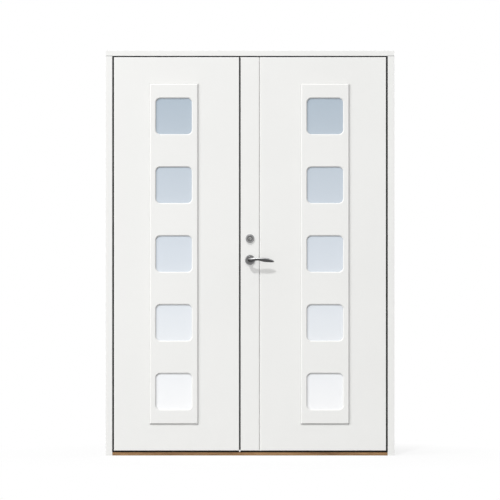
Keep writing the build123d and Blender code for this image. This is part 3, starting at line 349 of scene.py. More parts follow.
@dataclass(frozen=True)
class OiledOak:
    """Oiled oak with its grain along X: dark pores, paler bands and a faint relief."""

    name: str
    dark: Colour
    middle: Colour
    pale: Colour
    bands: Noise = Noise(95.0, 6.0)
    band_places: Triple = (0.28, 0.5, 0.74)
    pores: Noise = Noise(620.0, 3.0)
    pore_span: Span = (0.35, 0.65)
    pore_shades: Span = (0.6, 1.1)
    roughness: Span = (0.42, 0.6)
    relief: Relief = Relief(0.35, 0.0004)

    def material(self) -> Material:
        """Builds the wood.

        Returns:
            The material.
        """
        shader = Shader(self.name)
        along = shader.place(Grain.ACROSS.value)
        bands = shader.noise(self.bands, along)
        pores = shader.noise(self.pores, along)
        colour = shader.ramp(bands, list(zip(self.band_places, (self.dark, self.middle, self.pale))))
        shader.set(
            Base_Color=shader.darken(colour, shader.spread(pores, self.pore_shades, self.pore_span)),
            Roughness=shader.spread(bands, self.roughness),
        )
        shader.bump(pores, self.relief)
        return shader.material


@dataclass(frozen=True)
class Rubber:
    """Matt black sealing rubber with a dusty bloom."""

    name: str
    colour: Colour
    bloom: Colour
    dust: Noise = Noise(38.0, 4.0)
    dust_span: Span = (0.45, 0.8)
    roughness: Span = (0.62, 0.8)
    specular: float = 0.3
    pores: Noise = Noise(900.0, 2.0)
    relief: Relief = Relief(0.2, 0.0001)

    def material(self) -> Material:
        """Builds the rubber.

        Returns:
            The material.
        """
        shader = Shader(self.name)
        here = shader.place()
        dust = shader.noise(self.dust, here)
        shader.set(
            Base_Color=shader.ramp(dust, list(zip(self.dust_span, (self.colour, self.bloom)))),
            Roughness=shader.spread(dust, self.roughness),
            Specular_IOR_Level=self.specular,
        )
        shader.bump(shader.noise(self.pores, here), self.relief)
        return shader.material


@dataclass(frozen=True)
class BrushedMetal:
    """Metal with fine brushing or polishing marks along one line."""

    name: str
    colour: Colour
    grain: Grain
    roughness: float
    brushing: Noise = Noise(1500.0, 2.0)
    gloss_marks: Span = (-0.06, 0.06)
    smears: Mottle = Mottle(Noise(30.0, 3.0), (0.3, 0.65), (0.88, 1.0))
    relief: Relief = Relief(0.06, 0.00004)

    def material(self) -> Material:
        """Builds the metal.

        Returns:
            The material.
        """
        shader = Shader(self.name)
        lines = shader.noise(self.brushing, shader.place(self.grain.value))
        shader.set(
            Base_Color=shader.mottled(self.colour, self.smears, shader.place()),
            Metallic=1.0,
            Roughness=shader.spread(lines, around(self.roughness, self.gloss_marks)),
        )
        shader.bump(lines, self.relief)
        return shader.material


@dataclass(frozen=True)
class PaintedSheenMetal:
    """Dark plated metal with a painted reflection: faces that look up are coloured bright, faces that look down
    stay dark.

    The sheen's span is the rise of the face, from 0 for an upright one to 1 for one that looks up.
    """

    name: str
    colour: Colour
    painted_sheen: Colour
    roughness: float
    edge: Colour
    sheen_rise: Span = (0.1, 0.46)
    smears: Noise = Noise(45.0, 3.0)
    smear_weight: float = 0.24
    brushing: Noise = Noise(1500.0, 2.0)
    gloss_marks: Span = (-0.04, 0.04)
    relief: Relief = Relief(0.02, 0.00004)

    def material(self) -> Material:
        """Builds the metal.

        Returns:
            The material.
        """
        shader = Shader(self.name)
        rise = shader.axis(shader.node("ShaderNodeTexCoord").outputs["Normal"], "Z")
        smears = shader.noise(self.smears, shader.place())
        uneven = shader.reckon("MULTIPLY_ADD", smears, self.smear_weight, rise)
        sheen_share = shader.spread(uneven, (0.0, 1.0), around(self.smear_weight / 2, self.sheen_rise))
        lines = shader.noise(self.brushing, shader.place(Grain.ACROSS.value))
        shader.set(
            # Painted reflection: the colour brightens as the face looks up, standing in for a bright sky above
            # and a dark floor below.
            Base_Color=shader.ramp(sheen_share, ((0.0, self.colour), (1.0, self.painted_sheen))),
            Metallic=1.0,
            Specular_Tint=(*self.edge, 1.0),
            Roughness=shader.spread(lines, around(self.roughness, self.gloss_marks)),
        )
        shader.bump(lines, self.relief)
        return shader.material


@dataclass(frozen=True)
class TurnedMetal:
    """Metal with fine rings round an axis along Y, as a lathe leaves them, and painted shade that darkens its
    recesses.

    A recess is a ring between two radii, or everything deeper than a place on Y.
    """

    name: str
    colour: Colour
    centre: Triple
    roughness: float
    recess: Span = (0.0, 0.0)
    floor: float = math.inf
    recess_shade: float = 0.45
    edge_width: float = 0.0006
    rings: float = 1400.0
    gloss_marks: Span = (-0.08, 0.1)
    smears: Mottle = Mottle(Noise(60.0, 3.0), (0.3, 0.7), (0.86, 1.0))
    relief: Relief = Relief(0.12, 0.00005)

    def unshaded_share(self, shader: Shader, radius: NodeSocket, depth: NodeSocket) -> NodeSocket:
        """How much of the metal's colour the painted shade in the recesses leaves.

        Args:
            shader: the material under construction.
            radius: the distance from the axis.
            depth: the place on Y.

        Returns:
            A value socket.
        """
        inner, outer = self.recess
        entered = shader.spread(radius, (1.0, self.recess_shade), (inner, inner + self.edge_width))
        left = shader.spread(radius, (0.0, 1.0 - self.recess_shade), (outer - self.edge_width, outer))
        ring = shader.reckon("ADD", entered, left)
        if math.isinf(self.floor):
            return ring
        deep = shader.spread(depth, (1.0, self.recess_shade**2), (self.floor, self.floor + self.edge_width))
        return shader.reckon("MULTIPLY", ring, deep)

    def material(self) -> Material:
        """Builds the metal.

        Returns:
            The material.
        """
        shader = Shader(self.name)
        here = shader.place()
        off_axis = (1.0, 0.0, 1.0)
        away = shader.vector("SUBTRACT", here, self.centre)
        radius = shader.vector("LENGTH", shader.vector("MULTIPLY", away, off_axis))
        turned = {"W": radius, "Scale": self.rings}
        rings = shader.node("ShaderNodeTexNoise", turned, noise_dimensions="1D").outputs["Fac"]
        colour = shader.mottled(self.colour, self.smears, here)
        shader.set(
            # Painted shade: the colour is darkened in the recessed ring and deep in the keyway.
            Base_Color=shader.darken(colour, self.unshaded_share(shader, radius, shader.axis(here, "Y"))),
            Metallic=1.0,
            Roughness=shader.spread(rings, around(self.roughness, self.gloss_marks)),
        )
        shader.bump(rings, self.relief)
        return shader.material


@dataclass(frozen=True)
class FadingGlass:
    """Frosted glass with a painted reflection of a sky in its colour, fading from grey-blue at the top of the
    door to near white at the bottom.
    """

    name: str
    top: Colour
    middle: Colour
    bottom: Colour
    heights: Span
    fade_places: Triple = (0.0, 0.5, 1.0)
    ripple: Noise = Noise(9.0, 2.0)
    roughness: Span = (0.04, 0.09)
    refraction: float = 1.5
    coat: float = 0.25
    coat_roughness: float = 0.03
    relief: Relief = Relief(0.02, 0.002)

    def material(self) -> Material:
        """Builds the glass.

        Returns:
            The material.
        """
        shader = Shader(self.name)
        here = shader.place()
        share = shader.spread(shader.axis(here, "Z"), (0.0, 1.0), self.heights)
        ripple = shader.noise(self.ripple, here)
        shader.set(
            # Painted reflection: the colour fades with height, as a reflected sky would.
            Base_Color=shader.ramp(share, list(zip(self.fade_places, (self.bottom, self.middle, self.top)))),
            Roughness=shader.spread(ripple, self.roughness),
            IOR=self.refraction,
            Coat_Weight=self.coat,
            Coat_Roughness=self.coat_roughness,
        )
        shader.bump(ripple, self.relief)
        return shader.material


def axis_of(node: str) -> Triple:
    """The middle of a round node's box."""
    low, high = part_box(node)
    return tuple((low + high) / 2)


@dataclass(frozen=True)
class Palette:
    """Every material of the door."""

    leaf_paint: Material
    jamb_paint: Material
    head_paint: Material
    oak: Material
    rubber: Material
    chrome: Material
    rose_chrome: Material
    cylinder_steel: Material
    plug_steel: Material
    turn_steel: Material
    satin_steel: Material
    zinc: Material
    screw_steel: Material
    aluminium: Material
    brass: Material
    glass: Material

    @classmethod
    def mix(cls) -> "Palette":
        """Builds every material, with the places that patterns follow read from the frame.

        Returns:
            The palette.
        """
        white = (0.862, 0.862, 0.846)
        steel = (0.29, 0.29, 0.29)
        smooth_grain = 0.00001
        raised_grain = 0.00008
        keyway_start = 0.0004
        cylinder_axis = axis_of("cylinder_plug")
        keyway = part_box("cylinder_plug")[0].y + keyway_start
        panes = (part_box("daily_glass_1")[0].z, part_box("daily_glass_5")[1].z)
        return cls(
            leaf_paint=Paint("leaf_paint", white, Grain.UPRIGHT, smooth_grain).material(),
            jamb_paint=Paint("jamb_paint", white, Grain.UPRIGHT, raised_grain).material(),
            head_paint=Paint("head_paint", white, Grain.ACROSS, raised_grain).material(),
            oak=OiledOak(
                "oiled_oak", dark=(0.136, 0.064, 0.022), middle=(0.3, 0.16, 0.062), pale=(0.427, 0.246, 0.11)
            ).material(),
            rubber=Rubber("black_rubber", (0.006, 0.006, 0.006), bloom=(0.014, 0.014, 0.014)).material(),
            # The levers' chrome holds a painted reflection: bright on faces that look up, dark on those that
            # look down.
            chrome=PaintedSheenMetal(
                "rubbed_chrome", (0.085, 0.085, 0.087), painted_sheen=(0.56, 0.56, 0.565), roughness=0.42,
                edge=(0.35, 0.35, 0.35),
            ).material(),
            # Painted shade: the rose's dish, the cylinder's ring and the plug's keyway are darkened in their
            # colour.
            rose_chrome=TurnedMetal(
                "rose_chrome", (0.26, 0.26, 0.262), axis_of("outer_rose"), roughness=0.3,
                recess=(0.0101, 0.021), recess_shade=0.7,
            ).material(),
            cylinder_steel=TurnedMetal(
                "turned_steel", steel, cylinder_axis, roughness=0.36, recess=(0.0085, 0.014)
            ).material(),
            plug_steel=TurnedMetal(
                "plug_steel", (0.36, 0.36, 0.355), cylinder_axis, roughness=0.34, floor=keyway
            ).material(),
            turn_steel=TurnedMetal("thumb_turn_steel", steel, cylinder_axis, roughness=0.34).material(),
            satin_steel=BrushedMetal(
                "satin_steel", (0.4, 0.4, 0.405), Grain.UPRIGHT, roughness=0.38
            ).material(),
            zinc=BrushedMetal("zinc_steel", (0.5, 0.51, 0.53), Grain.UPRIGHT, roughness=0.36).material(),
            screw_steel=BrushedMetal(
                "screw_steel", (0.24, 0.24, 0.245), Grain.INWARD, roughness=0.33
            ).material(),
            aluminium=BrushedMetal(
                "brushed_aluminium", (0.62, 0.62, 0.63), Grain.ACROSS, roughness=0.4
            ).material(),
            brass=BrushedMetal("brass", (0.62, 0.46, 0.2), Grain.INWARD, roughness=0.32).material(),
            # The panes' colour holds a painted reflection of a sky, fading with height.
            glass=FadingGlass(
                "fading_glass", top=(0.43, 0.51, 0.59), middle=(0.68, 0.735, 0.8), bottom=(0.965, 0.97, 0.98),
                heights=panes,
            ).material(),
        )


# Meshes


def link(name: str, data: Mesh | Light | bpy.types.Camera) -> Object:
    """Adds a mesh, a lamp or a camera to the scene as an object at the origin.

    Args:
        name: the object's name.
        data: what it shows; a mesh is already in place.

    Returns:
        The object.
    """
    made = bpy.data.objects.new(name, data)
    bpy.context.scene.collection.objects.link(made)
    return made


def install(name: str, meshes: Iterable[Mesh], finish: Material, body: str) -> None:
    """Makes one piece of several meshes and fixes it to a CAD body.

    Args:
        name: the piece's name.
        meshes: the meshes, already in place; they are used up.
        finish: the material of the whole.
        body: the body that it rides on.
    """
    whole = bmesh.new()
    for mesh in meshes:
        whole.from_mesh(mesh)
        bpy.data.meshes.remove(mesh)
    for face in whole.faces:
        face.material_index = 0
    joined = bpy.data.meshes.new(name)
    whole.to_mesh(joined)
    whole.free()
    joined.materials.append(finish)
    piece = link(name, joined)
    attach(piece, body)
    LOG.info("built %s on %s, %d faces", piece.name, body, len(joined.polygons))


def dress(frame: dict, finish: Material, *nodes: str) -> None:
    """Gives CAD nodes a finish.

    Args:
        finish: the material.
        nodes: the nodes' names.
    """
    for node in nodes:
        mesh = frame["nodes"][node].data
        mesh.materials.clear()
        mesh.materials.append(finish)
        LOG.info("dressed %s in %s", node, finish.name)


def flanks(node: str, leaf: Leaf) -> Span:
    """A node's two sides on X: the one towards the door's middle, then the one towards a leaf's hinges."""
    low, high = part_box(node)
    return (high.x, low.x) if leaf is Leaf.BOLTED else (low.x, high.x)


def skin(name: str, rings: Sequence[Sequence[Vector]], round_trip: bool = False) -> Mesh:
    """Closes a row of rings into a solid.

    Args:
        name: the mesh's name.
        rings: rings of as many points each, in order.
        round_trip: whether the last ring joins the first, or both are capped.

    Returns:
        The closed mesh, with its faces outwards.
    """
    shape = bmesh.new()
    loops = [[shape.verts.new(point) for point in ring] for ring in rings]
    followers = loops[1:] + loops[:1] if round_trip else loops[1:]
    for first, second in zip(loops, followers):
        for index in range(len(first)):
            shape.faces.new((first[index - 1], first[index], second[index], second[index - 1]))
    if not round_trip:
        shape.faces.new(loops[0])
        shape.faces.new(reversed(loops[-1]))
    bmesh.ops.recalc_face_normals(shape, faces=shape.faces)
    mesh = bpy.data.meshes.new(name)
    shape.to_mesh(mesh)
    shape.free()
    return mesh


def upright(name: str, outline: Sequence[Span], low: float, high: float) -> Mesh:
    """Raises an outline on X and Y to a closed strip between two heights."""
    return skin(name, [[Vector((x, y, z)) for x, y in outline] for z in (low, high)])


@dataclass(frozen=True)
class ShadeLip:
    """A thin rubber lip over the rounded upright edge of a gap, which lines the gap as far as its seal; its
    black is painted shade that darkens the gap's line.

    Its fields are the edge's radius, the width that shows from outside, how far the lip stands proud of the
    edge, how far it is sunk in it, how far it ends before the seal, and the number of flats round the edge.
    """

    arris: float
    cover: float
    proud: float = 0.00012
    sunk: float = 0.0005
    seal_clearance: float = 0.0005
    flats: int = 6

    def outline(self, edge: float, front: float, toward: float) -> list[Span]:
        """The lip's section, seen from above.

        Args:
            edge: the place on X of the face that borders the gap.
            front: the place on Y of the front face.
            toward: 1 where the gap lies to the right of the edge, -1 where it lies to the left.

        Returns:
            The section's corners, in order round it.
        """
        middle = edge - toward * self.arris
        start = front + self.arris
        turn = math.acos(1 - self.cover / self.arris)
        crest = self.arris + self.proud
        root = self.arris - self.sunk
        polar = [(crest, turn * step / self.flats) for step in range(self.flats + 1)]
        polar += [(root, turn), (root, 0.0)]
        arc = [
            (middle + toward * size * math.cos(angle), start - size * math.sin(angle))
            for size, angle in polar
        ]
        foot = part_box("outer_frame_seal")[0].y - self.seal_clearance
        return [(edge + toward * self.proud, foot), *arc, (edge - toward * self.sunk, foot)]


# Rows of small fasteners, made with geometry nodes


@dataclass(frozen=True)
class Row:
    """Where a pattern of fasteners stands: a grid on one face."""

    centre: Triple
    facing: Facing
    columns: int = 1
    rows: int = 1
    column_pitch: float = 0.0
    row_pitch: float = 0.0


@dataclass
class FastenerTree(Wiring, ABC):
    """Geometry nodes that repeat one small fastener over a grid on a face."""

    name: str
    finish: Material
    slot: str
    radius: float
    proud: float
    depth: float
    sides: int = 24
    seed: int = 7

    def __post_init__(self) -> None:
        """Builds the node tree with its named inputs."""
        super().__init__(bpy.data.node_groups.new(self.name, "GeometryNodeTree"))
        self.tree.is_modifier = True
        declare = self.tree.interface.new_socket
        for way in ("INPUT", "OUTPUT"):
            declare("Geometry", in_out=way, socket_type="NodeSocketGeometry")
        kinds = {
            "NodeSocketInt": ("Columns", "Rows", "Seed"),
            "NodeSocketFloat": ("Column Pitch", "Row Pitch", "Radius", "Proud", "Depth"),
            "NodeSocketVector": ("Centre", "Turn"),
            "NodeSocketMaterial": ("Finish",),
        }
        self.sockets = {
            label: declare(label, in_out="INPUT", socket_type=kind).identifier
            for kind, labels in kinds.items()
            for label in labels
        }
        self.given = self.node("NodeGroupInput").outputs
        self.wire()

    @abstractmethod
    def fastener(self) -> NodeSocket:
        """One fastener that looks up, as a geometry socket."""

    def share(self, factor: float) -> NodeSocket:
        """A part of the fastener's radius."""
        return self.reckon("MULTIPLY", self.given["Radius"], factor)

    def raised(self, mesh: NodeSocket, height: NodeSocket) -> NodeSocket:
        """Moves a mesh along its own Z in the tree."""
        lift = self.node("ShaderNodeCombineXYZ", {"Z": height}).outputs["Vector"]
        return self.node("GeometryNodeTransform", {"Geometry": mesh, "Translation": lift}).outputs["Geometry"]

    def rotation(self, turn: NodeSocket) -> NodeSocket:
        """A rotation from an Euler turn."""
        return self.node("FunctionNodeEulerToRotation", {"Euler": turn}).outputs["Rotation"]

    def cone(self, foot: NodeSocket, top: NodeSocket, height: NodeSocket, ends: str) -> NodeSocket:
        """A cut-off cone that stands on its origin.

        Args:
            foot: the radius at its foot.
            top: the radius at its top.
            height: its height.
            ends: how its ends are filled, NONE leaves them open.

        Returns:
            A geometry socket.
        """
        sizes = {"Vertices": self.sides, "Radius Bottom": foot, "Radius Top": top, "Depth": height}
        return self.node("GeometryNodeMeshCone", sizes, fill_type=ends).outputs["Mesh"]

    def wire(self) -> None:
        """Lays the fasteners out over the grid and brings them to their face."""
        given = self.given
        counts = {"Vertices X": given["Columns"], "Vertices Y": given["Rows"]}
        spans = {}
        for axis, count in (("X", "Column"), ("Y", "Row")):
            steps = self.reckon("SUBTRACT", given[f"{count}s"], 1.0)
            spans[f"Size {axis}"] = self.reckon("MULTIPLY", steps, given[f"{count} Pitch"])
        grid = self.node("GeometryNodeMeshGrid", {**spans, **counts}).outputs["Mesh"]
        draw = {"Seed": given["Seed"], RANDOM_HIGHEST: QUARTER_TURN}
        spin = self.node("FunctionNodeRandomValue", draw, data_type="FLOAT").outputs[RANDOM_RESULT]
        turn = self.node("ShaderNodeCombineXYZ", {"Z": spin}).outputs["Vector"]
        stand = {"Points": grid, "Instance": self.fastener(), "Rotation": self.rotation(turn)}
        repeated = self.node("GeometryNodeInstanceOnPoints", stand).outputs["Instances"]
        face = {"Translation": given["Centre"], "Rotation": self.rotation(given["Turn"])}
        placed = self.node("GeometryNodeTransform", {"Geometry": repeated, **face}).outputs["Geometry"]
        solid = self.node("GeometryNodeRealizeInstances", {"Geometry": placed}).outputs["Geometry"]
        dressed = self.node("GeometryNodeSetMaterial", {"Geometry": solid, "Material": given["Finish"]})
        self.node("NodeGroupOutput", {"Geometry": dressed.outputs["Geometry"]})

    def grow(self, row: Row) -> Mesh:
        """Makes one pattern as a plain mesh.

        Args:
            row: where the pattern stands.

        Returns:
            The mesh, in place.
        """
        carrier = link(f"{self.name}_carrier", bpy.data.meshes.new(self.name))
        modifier = carrier.modifiers.new(self.name, "NODES")
        modifier.node_group = self.tree
        values = {
            "Columns": row.columns, "Rows": row.rows, "Seed": self.seed, "Column Pitch": row.column_pitch,
            "Row Pitch": row.row_pitch, "Radius": self.radius, "Proud": self.proud, "Depth": self.depth,
            "Centre": row.centre, "Turn": row.facing.value, "Finish": self.finish,
        }
        for label, value in values.items():
            modifier[self.sockets[label]] = value
        depsgraph = bpy.context.evaluated_depsgraph_get()
        mesh = bpy.data.meshes.new_from_object(carrier.evaluated_get(depsgraph), depsgraph=depsgraph)
        carrier.modifiers.remove(modifier)
        bpy.data.objects.remove(carrier)
        return mesh

    def build(self, name: str, rows: Iterable[Row], body: str) -> None:
        """Makes several patterns as one piece on a CAD body."""
        install(name, [self.grow(row) for row in rows], self.finish, body)


@dataclass
class ScrewTree(FastenerTree):
    """Geometry nodes that repeat a countersunk head with a cross recess.

    The shares are parts of the head's radius: its face, and the length and width of a slot of the cross.
    """

    face_share: float = 0.92
    slot_length_share: float = 1.25
    slot_width_share: float = 0.26

    def fastener(self) -> NodeSocket:
        """One screw head, its face at the proud height.

        Returns:
            A geometry socket.
        """
        given = self.given
        height = self.reckon("ADD", given["Depth"], given["Proud"])
        head = self.cone(given["Radius"], self.share(self.face_share), height, "NGON")
        head = self.raised(head, self.reckon("MULTIPLY", given["Depth"], -1.0))
        cut = self.node("GeometryNodeMeshBoolean", {"Mesh 1": head}, operation="DIFFERENCE", solver="EXACT")
        length = self.share(self.slot_length_share)
        width = self.share(self.slot_width_share)
        for along, across in ((length, width), (width, length)):
            size = self.node("ShaderNodeCombineXYZ", {"X": along, "Y": across, "Z": height}).outputs["Vector"]
            bar = self.node("GeometryNodeMeshCube", {"Size": size}).outputs["Mesh"]
            self.feed(cut.inputs["Mesh 2"], self.raised(bar, given["Proud"]))
        return cut.outputs["Mesh"]


@dataclass
class CapTree(FastenerTree):
    """Geometry nodes that repeat a low domed cover cap.

    The shares are parts of the cap's radius, and the weld is the distance within which its points join.
    """

    shoulder_share: float = 0.94
    crown_share: float = 0.6
    weld: float = 0.000001

    def disc(self, radius: NodeSocket) -> NodeSocket:
        """A flat disc that looks up."""
        sizes = {"Vertices": self.sides, "Radius": radius}
        return self.node("GeometryNodeMeshCircle", sizes, fill_type="NGON").outputs["Mesh"]

    def fastener(self) -> NodeSocket:
        """One cap: a rim, a shoulder and a flat crown, welded to one closed shape.

        Returns:
            A geometry socket.
        """
        rise, depth, radius = (self.given[label] for label in ("Proud", "Depth", "Radius"))
        low = self.share(self.shoulder_share)
        high = self.share(self.crown_share)
        foot = self.node("GeometryNodeFlipFaces", {"Mesh": self.disc(radius)}).outputs["Mesh"]
        rim = self.cone(radius, low, depth, "NONE")
        shoulder = self.raised(self.cone(low, high, rise, "NONE"), depth)
        crown = self.raised(self.disc(high), self.reckon("ADD", depth, rise))
        joined = self.node("GeometryNodeJoinGeometry")
        for part in (foot, rim, shoulder, crown):
            self.feed(joined.inputs["Geometry"], part)
        loose = {"Geometry": joined.outputs["Geometry"], "Distance": self.weld}
        return self.node("GeometryNodeMergeByDistance", loose).outputs["Geometry"]


# Sub-assemblies


@dataclass
class DoorFrame:
    """Jambs, head, threshold, their seals, the lips and joint beads that are dark as painted shade, and the
    screws of the strips let into them.
    """

    frame: dict
    palette: Palette
    strip_screw_count: int = 6
    strip_screw_inset: float = 0.06
    keep_screw_inset: float = 0.007
    joint_width: float = 0.0017
    joint_proud: float = 0.0001
    joint_depth: float = 0.0006
    arris: float = 0.0015
    flange_clearance: float = 0.004
    shade_lip_cover: float = 0.0008

    def dress(self) -> None:
        """Gives the frame's nodes their finishes."""
        dress(self.frame, self.palette.jamb_paint, "left_jamb", "right_jamb")
        dress(self.frame, self.palette.head_paint, "head")
        dress(self.frame, self.palette.oak, "threshold")
        dress(self.frame, self.palette.aluminium, "threshold_wear_strip")
        dress(self.frame, self.palette.rubber, "outer_frame_seal", "inner_frame_seal")
        dress(self.frame, self.palette.zinc, "head_keep_plate", "frame_screws")

    def build(self, screws: ScrewTree) -> None:
        """Adds the screws of the wear strip and the keep plate, and the joints' beads and the jambs' lips, dark
        as painted shade.

        Args:
            screws: the tree that makes screw heads.
        """
        low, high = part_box("threshold_wear_strip")
        span = high.x - low.x - 2 * self.strip_screw_inset
        strip = Row(
            (0.0, (low.y + high.y) / 2, high.z), Facing.UP, columns=self.strip_screw_count,
            column_pitch=span / (self.strip_screw_count - 1),
        )
        low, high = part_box("head_keep_plate")
        middle = (low + high) / 2
        keep = Row(
            (middle.x, middle.y, low.z), Facing.DOWN, columns=2,
            column_pitch=high.x - low.x - 2 * self.keep_screw_inset,
        )
        screws.build("frame_strip_screws", (strip, keep), "frame")
        # Painted shade: the joint beads and the jambs' lips are dark strips for the shadows in the joints and
        # gaps.
        for name, make in (("head_joint_shade_beads", self.joint_shade_bead), ("jamb_shade_lips", self.lip)):
            install(name, [make(leaf) for leaf in Leaf], self.palette.rubber, "frame")

    def joint_shade_bead(self, leaf: Leaf) -> Mesh:
        """A dark bead in the joint between the head and a jamb, on three of its sides: it marks the joint, and
        its dark colour is painted shade for the joint's shadow.

        Args:
            leaf: the leaf that hangs on the jamb.

        Returns:
            The bead's mesh.
        """
        jamb = f"{leaf.hand}_jamb"
        inner, side = flanks(jamb, leaf)
        flange = flanks(f"{leaf.value}_leaf_slab", leaf)[1]
        front, back = (corner.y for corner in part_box(jamb))
        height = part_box("head")[0].z
        hand = leaf.outward
        forward = Vector((0.0, -1.0, 0.0))
        sideward = Vector((hand, 0.0, 0.0))
        path = [
            (inner + hand * self.arris, front, forward),
            (side - hand * self.arris, front, forward),
            (side, front + self.arris, sideward),
            (side, back, sideward - forward),
            (flange + hand * self.flange_clearance, back, -forward),
        ]
        half = self.joint_width / 2
        section = [
            (-self.joint_depth, -half), (0.0, -half), (self.joint_proud, -half / 2),
            (self.joint_proud, half / 2), (0.0, half), (-self.joint_depth, half),
        ]
        rings = [
            [Vector((x, y, height)) + away * reach + Vector((0.0, 0.0, rise)) for reach, rise in section]
            for x, y, away in path
        ]
        return skin(f"{jamb}_joint", rings)

    def lip(self, leaf: Leaf) -> Mesh:
        """The rubber lip on a jamb's edge beside the leaf's gap, black as painted shade for the gap.

        Args:
            leaf: the leaf that hangs on the jamb.

        Returns:
            The lip's mesh.
        """
        jamb = f"{leaf.hand}_jamb"
        edge = flanks(jamb, leaf)[0]
        outline = ShadeLip(self.arris, self.shade_lip_cover).outline(edge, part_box(jamb)[0].y, -leaf.outward)
        return upright(f"{jamb}_lip", outline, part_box("threshold")[1].z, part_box("head")[0].z)


@dataclass
class DoorLeaf:
    """One leaf: slab, panels, glass, seals, the cover caps of its inner panel and the lips of its edges; the
    lips and the outer panel's seal are black as painted shade.
    """

    frame: dict
    palette: Palette
    leaf: Leaf
    light_count: int = 5
    cap_inset: float = 0.021
    arris: float = 0.003
    hinge_shade_lip_cover: float = 0.0008
    meeting_shade_lip_cover: float = 0.002
    panel_shade_seal_height: float = 0.003
    panel_shade_seal_proud: float = 0.0001
    panel_shade_seal_sunk: float = 0.0005

    def node(self, part: str) -> str:
        """The full name of one of this leaf's nodes."""
        return f"{self.leaf.value}_{part}"

    def dress(self) -> None:
        """Gives the leaf's nodes their finishes."""
        painted = [self.node(part) for part in ("leaf_slab", "outer_panel", "inner_panel")]
        panes = [self.node(f"glass_{number}") for number in range(1, self.light_count + 1)]
        dress(self.frame, self.palette.leaf_paint, *painted)
        dress(self.frame, self.palette.glass, *panes)
        dress(self.frame, self.palette.aluminium, self.node("glass_spacers"))
        dress(self.frame, self.palette.rubber, self.node("bottom_seal"), self.node("glazing_gaskets"))

    def build(self, caps: CapTree) -> None:
        """Adds the cover caps over the inner panel's screws, and the lips and the outer panel's seal, which are
        black as painted shade.

        Args:
            caps: the tree that makes cover caps.
        """
        low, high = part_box(self.node("inner_panel"))
        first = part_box(self.node("glass_1"))
        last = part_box(self.node(f"glass_{self.light_count}"))
        pitch = (last[0].z - first[0].z) / (self.light_count - 1)
        middle = (low + high) / 2
        rails = Row(
            (middle.x, high.y, middle.z), Facing.IN, columns=2, rows=self.light_count - 1,
            column_pitch=high.x - low.x - 2 * self.cap_inset, row_pitch=pitch,
        )
        caps.build(self.node("panel_caps"), (rails,), self.leaf.body)
        # Painted shade: the black lips and the panel's seal darken the gap lines and the panel's foot.
        for part, meshes in (("leaf_shade_lips", self.shade_lips()), ("panel_shade_seal", [self.panel_shade_seal()])):
            install(self.node(part), meshes, self.palette.rubber, self.leaf.body)

    def panel_shade_seal(self) -> Mesh:
        """The thin black seal round the foot of the outer panel, where it lies on the slab; its dark colour is
        painted shade that darkens the corner at the panel's foot.

        Returns:
            The seal's mesh.
        """
        low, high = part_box(self.node("outer_panel"))
        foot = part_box(self.node("leaf_slab"))[0].y
        crest = foot - self.panel_shade_seal_height
        section = [
            (-self.panel_shade_seal_sunk, foot), (self.panel_shade_seal_proud, foot),
            (self.panel_shade_seal_proud, crest), (-self.panel_shade_seal_sunk, crest),
        ]
        left, right, bottom, top = (low.x, -1.0), (high.x, 1.0), (low.z, -1.0), (high.z, 1.0)
        rings = []
        for (x, aside), (z, up) in ((left, bottom), (right, bottom), (right, top), (left, top)):
            corner = Vector((x, 0.0, z))
            outward = Vector((aside, 0.0, up))
            rings.append([corner + outward * reach + Vector((0.0, depth, 0.0)) for reach, depth in section])
        return skin(self.node("seal"), rings, round_trip=True)

    def shade_lips(self) -> list[Mesh]:
        """The rubber lips on the leaf's front, black as painted shade for the gaps: at its hinge edge, and at
        the daily leaf's meeting edge.

        Returns:
            A mesh for each lip.
        """
        meeting, hinged = flanks(self.node("bottom_seal"), self.leaf)
        seal_low, seal_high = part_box("meeting_seal")
        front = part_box(self.node("leaf_slab"))[0].y
        edges = [(hinged, self.leaf.outward, self.hinge_shade_lip_cover)]
        if self.leaf is Leaf.DAILY:
            edges.append((meeting, -self.leaf.outward, self.meeting_shade_lip_cover))
        # Painted shade: black lips over the gap edges darken the gap lines.
        outlines = [ShadeLip(self.arris, cover).outline(edge, front, toward) for edge, toward, cover in edges]
        top = seal_high.z - self.arris
        return [upright(self.node("lip"), outline, seal_low.z, top) for outline in outlines]


@dataclass
class StileGroove:
    """The groove in the daily leaf's stile, with a dark line at its bottom that is painted shade deepening the
    groove.
    """

    palette: Palette
    offset: float = 0.0505
    width: float = 0.0105
    depth: float = 0.006
    line_width: float = 0.0011
    line_depth: float = 0.0005

    def build(self) -> None:
        """Adds the dark line of painted shade, as high as the seal beside it."""
        low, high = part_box("meeting_seal")
        half = self.line_width / 2
        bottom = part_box("daily_leaf_slab")[0].y + self.depth
        face = bottom - half * self.depth / (self.width / 2)
        root = (self.offset, bottom + self.line_depth)
        outline = [(self.offset - half, face), (self.offset + half, face), root]
        # Painted shade: a dark line at the groove's bottom.
        line = upright("groove_shade_line", outline, low.z, high.z)
        install("stile_groove_shade_line", [line], self.palette.rubber, Leaf.DAILY.body)


